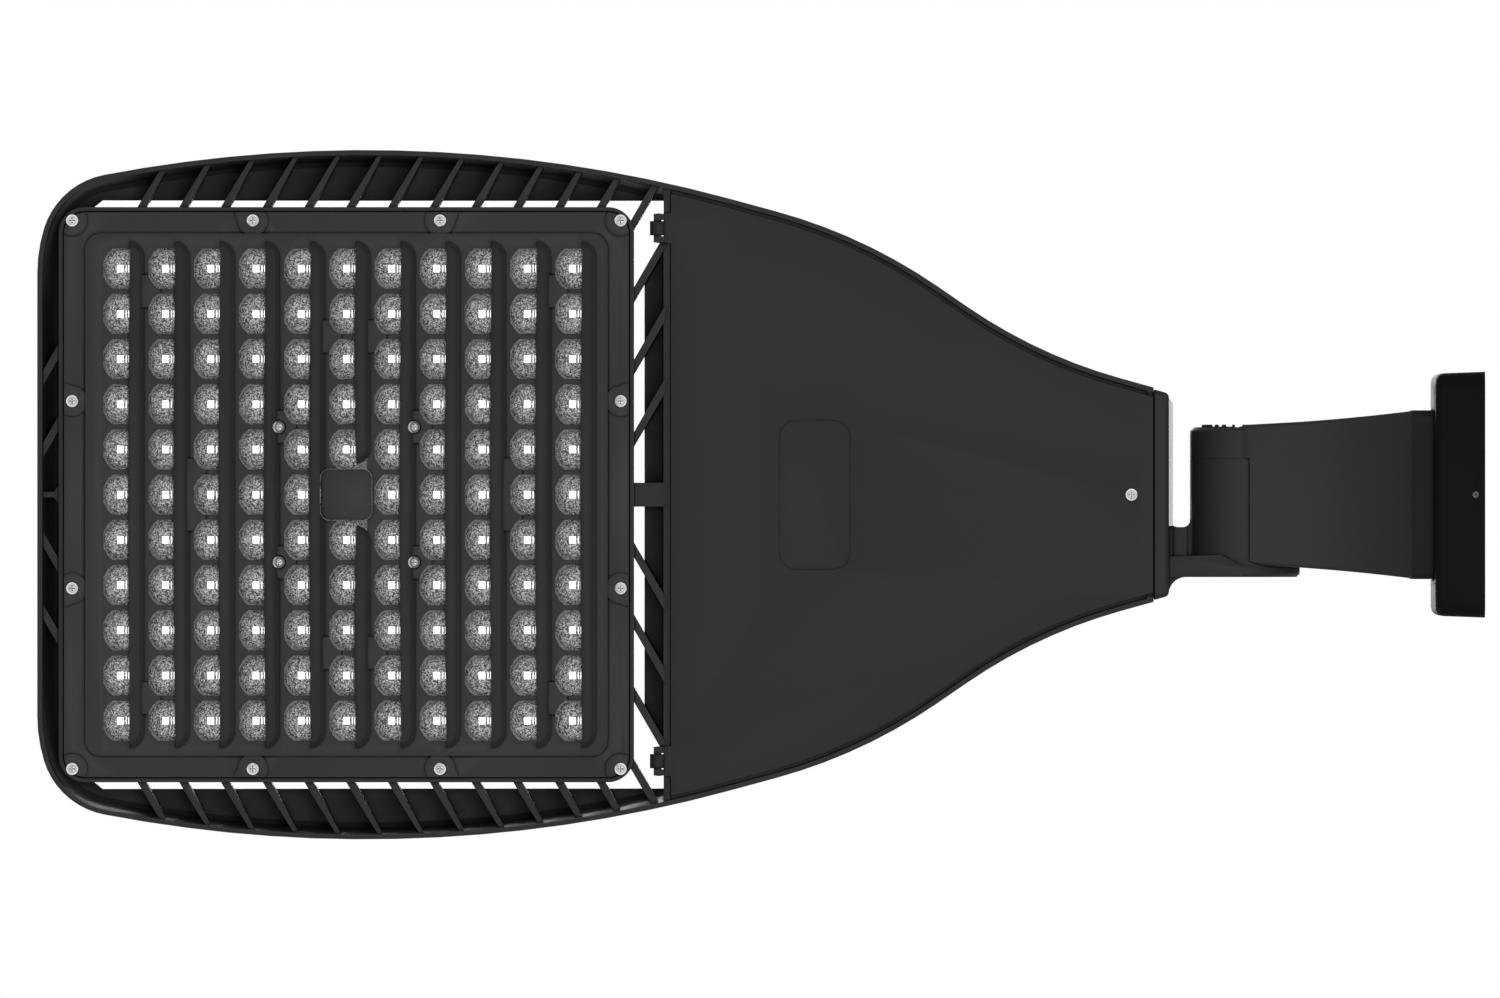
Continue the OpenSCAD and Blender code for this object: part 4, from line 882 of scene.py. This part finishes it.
def dressNeck(shape):
    neck = copyOfNode("knuckle_bracket", "neckBracket")
    cornerY, cornerZ, middle = shape["plateCorner"]

    def onOutline(point):
        nearBack = abs(point.x - shape["plateBack"]) < 0.05 * mm
        return nearBack and max(abs(point.y) - cornerY, abs(point.z - middle) - cornerZ) > 0.2 * mm

    def onBackEdge(point):
        nearBack = abs(point.x - shape["plateBack"]) < 0.05 * mm
        side = max(abs(point.y) / shape["taper"] - cornerY, 0)
        end = max(abs(point.z - middle) - cornerZ, 0)
        return nearBack and math.hypot(side, end) > 0.97 * shape["cornerRadius"]

    selectOnly(neck)
    bpy.ops.object.mode_set(mode="EDIT")
    bpy.ops.mesh.select_mode(type="VERT")
    bpy.ops.mesh.select_all(action="DESELECT")
    leaveEdit()
    for point in neck.data.vertices:
        point.select = onOutline(point.co)
    bpy.ops.object.mode_set(mode="EDIT")
    bpy.ops.transform.resize(value=(1, shape["taper"], 1), center_override=(0, 0, 0))
    leaveEdit()
    editEdges(neck, lambda a, b: onBackEdge(a) and onBackEdge(b))
    bpy.ops.mesh.bevel(offset=shape["backEdge"], segments=4)
    leaveEdit()
    roundEdges(neck, shape["edge"], crisp=lambda a, b: max(a.y, b.y) < shape["turningFace"] + 1.0 * mm)
    smooth(neck, 30)
    neck.data.materials.append(armCoat)
    neck.data.materials.append(polishedCoat)
    for face in neck.data.polygons:
        onPad = face.center.x > shape["plateBack"] and face.center.y < shape["padSide"][0]
        slanted = face.normal.x > 0.9 and abs(face.normal.z) > shape["padSide"][1]
        face.material_index = int(onPad and slanted)
    return finished(neck, armCoat, "knuckle_bracket", ["knuckle_bracket"])


def dressArm(shape):
    arm = copyOfNode("arm", "poleArm")

    def staysCrisp(a, b):
        return max(a.x, b.x) < shape["pocketEnd"] and min(a.y, b.y) > shape["cheekFace"]

    roundEdges(arm, shape["edge"], crisp=staysCrisp)
    smooth(arm, 30)
    arm.data.materials.append(armCoat)
    arm.data.materials.append(flangeCoat)
    for face in arm.data.polygons:
        face.material_index = int(face.center.x > shape["flangeFront"])
    return finished(arm, armCoat, "arm", ["arm"])


dressNeck(neckShape)
dressArm(armShape)
print("neck and arm dressed")


# --- tilt scale ------------------------------------------------------------------------
tiltScale = {
    "hub": (-120 * mm, 0),
    "face": -33.8 * mm,
    "rise": 1.3 * mm,
    "sink": 0.3 * mm,
    "inner": 17.6 * mm,
    "short": 19.8 * mm,
    "long": 20.8 * mm,
    "width": 1.3 * mm,
    "steps": 6,               # ticks from level to straight down
    "numberEvery": 2,
    "numberRadius": 14 * mm,
    "numberSize": 4 * mm,
}


def modelTick(scale, step):
    turn = math.pi + math.pi / 2 * step / scale["steps"]
    outer = scale["short"] if step % scale["numberEvery"] else scale["long"]
    middle = (scale["inner"] + outer) / 2
    depth = scale["rise"] + scale["sink"]
    x = scale["hub"][0] + middle * math.cos(turn)
    z = scale["hub"][1] + middle * math.sin(turn)
    y = scale["face"] - scale["rise"] + depth / 2
    bpy.ops.mesh.primitive_cube_add(size=1, location=(x, y, z), rotation=(0, -turn, 0))
    tick = named("tick")
    tick.scale = (outer - scale["inner"], depth, scale["width"])
    settle(tick)
    editFaces(tick, lambda face: face.normal.y < -0.5)
    bpy.ops.transform.resize(value=(0.7, 1, 0.7), center_override=(x, y, z))
    leaveEdit()
    return tick


def modelNumber(scale, step):
    turn = math.pi + math.pi / 2 * step / scale["steps"]
    x = scale["hub"][0] + scale["numberRadius"] * math.cos(turn)
    z = scale["hub"][1] + scale["numberRadius"] * math.sin(turn)
    bpy.ops.object.text_add(location=(x, scale["face"], z), rotation=(math.pi / 2, 0, 0))
    text = bpy.context.object
    text.data.body = str(round(90 * step / scale["steps"]))
    text.data.size = scale["numberSize"]
    text.data.extrude = 0.35 * mm
    text.data.align_x = "CENTER"
    text.data.align_y = "CENTER"
    selectOnly(text)
    bpy.ops.object.convert(target="MESH")
    return settle(named("number"))


def modelTiltScale(scale):
    steps = range(scale["steps"] + 1)
    marks = [modelTick(scale, step) for step in steps]
    marks += [modelNumber(scale, step) for step in steps if step % scale["numberEvery"] == 0]
    return finished(joined(marks, "tiltScale"), armCoat, "arm")


modelTiltScale(tiltScale)
print("tilt scale modelled")


# --- inner pieces ------------------------------------------------------------------------
keptFinishes = {
    "door_gasket": sealRubber,
    "lens_gasket": sealRubber,
    "bracket_gasket": sealRubber,
    "knuckle_seal": sealRubber,
    "harness_grommet": sealRubber,
    "screw_retainer": sealRubber,
    "led_board": boardMask,
    "led_chips": phosphor,
    "harness": wireSleeve,
}
for node, finish in keptFinishes.items():
    for slot in frame["nodes"][node].material_slots:
        slot.material = finish
print("inner pieces finished")


# --- studio --------------------------------------------------------------------------
studio = {
    "floorMiddle": (-0.36, 0, -0.55),
    "floorHalf": 14.0,
    "floorColour": (0.80, 0.80, 0.80),
    "floorGlow": 0.6,         # share of plain white that the camera sees in the floor
    "worldLight": 0.10,
}
lamps = {
    # name: (place, aim, size, watts)
    "belowLamp": ((-0.10, 0.12, -6.0), (-0.40, 0, 0), 1.5, 272),
    "aboveLamp": ((-0.6, -0.8, 4.0), (-0.35, 0, 0), 2.4, 150),
    "sideLamp": ((1.6, -1.8, 1.0), (-0.35, 0, 0), 1.4, 24),
}
shineLamps = ("belowLamp", "aboveLamp")   # the lamps that show as sheen


def addLamps(settings):
    for name, (place, aim, size, watts) in settings.items():
        bpy.ops.object.light_add(type="AREA", location=place)
        lamp = named(name)
        lamp.rotation_euler = (Vector(aim) - Vector(place)).to_track_quat("-Z", "Y").to_euler()
        lamp.data.shape = "DISK"
        lamp.data.size = size
        lamp.data.energy = watts
        lamp.visible_camera = False
        lamp.visible_glossy = name in shineLamps


def makeWorld(settings):
    world = bpy.data.worlds.new("studioWorld")
    bpy.context.scene.world = world
    world.use_nodes = True
    tree = world.node_tree
    tree.nodes.clear()
    path = addNode(tree, "ShaderNodeLightPath")
    seen = mathNode(tree, "MAXIMUM", path.outputs["Is Glossy Ray"], path.outputs["Is Transmission Ray"])
    seen = mathNode(tree, "MAXIMUM", seen, path.outputs["Is Camera Ray"])
    strength = stretched(tree, seen, 0.0, 1.0, settings["worldLight"], 1.0)
    back = addNode(tree, "ShaderNodeBackground", {"Color": (1, 1, 1, 1)})
    link(tree, strength, back.inputs["Strength"])
    out = addNode(tree, "ShaderNodeOutputWorld")
    link(tree, back.outputs[0], out.inputs["Surface"])


def makeFloor(settings):
    bpy.ops.mesh.primitive_plane_add(size=2 * settings["floorHalf"], location=settings["floorMiddle"])
    floor = settle(named("studioFloor"))
    material = bpy.data.materials.new("paleFloor")
    material.use_nodes = True
    tree = material.node_tree
    tree.nodes.clear()
    plain = addNode(tree, "ShaderNodeBsdfDiffuse", {"Color": (*settings["floorColour"], 1)})
    white = addNode(tree, "ShaderNodeEmission", {"Color": (1, 1, 1, 1), "Strength": 1.0})
    clear = addNode(tree, "ShaderNodeBsdfTransparent")
    path = addNode(tree, "ShaderNodeLightPath")
    seen = mathNode(tree, "MAXIMUM", path.outputs["Is Glossy Ray"], path.outputs["Is Transmission Ray"])
    glow = mathNode(tree, "MULTIPLY", path.outputs["Is Camera Ray"], settings["floorGlow"])
    seen = mathNode(tree, "MAXIMUM", seen, glow)
    front = addNode(tree, "ShaderNodeMixShader")
    link(tree, seen, front.inputs[0])
    link(tree, plain.outputs[0], front.inputs[1])
    link(tree, white.outputs[0], front.inputs[2])
    sides = addNode(tree, "ShaderNodeMixShader")
    link(tree, addNode(tree, "ShaderNodeNewGeometry").outputs["Backfacing"], sides.inputs[0])
    link(tree, front.outputs[0], sides.inputs[1])
    link(tree, clear.outputs[0], sides.inputs[2])
    out = addNode(tree, "ShaderNodeOutputMaterial")
    link(tree, sides.outputs[0], out.inputs["Surface"])
    floor.data.materials.append(material)
    floor.visible_shadow = False


addLamps(lamps)
makeWorld(studio)
makeFloor(studio)
bpy.context.scene.view_settings.view_transform = "Standard"
print("studio lit")
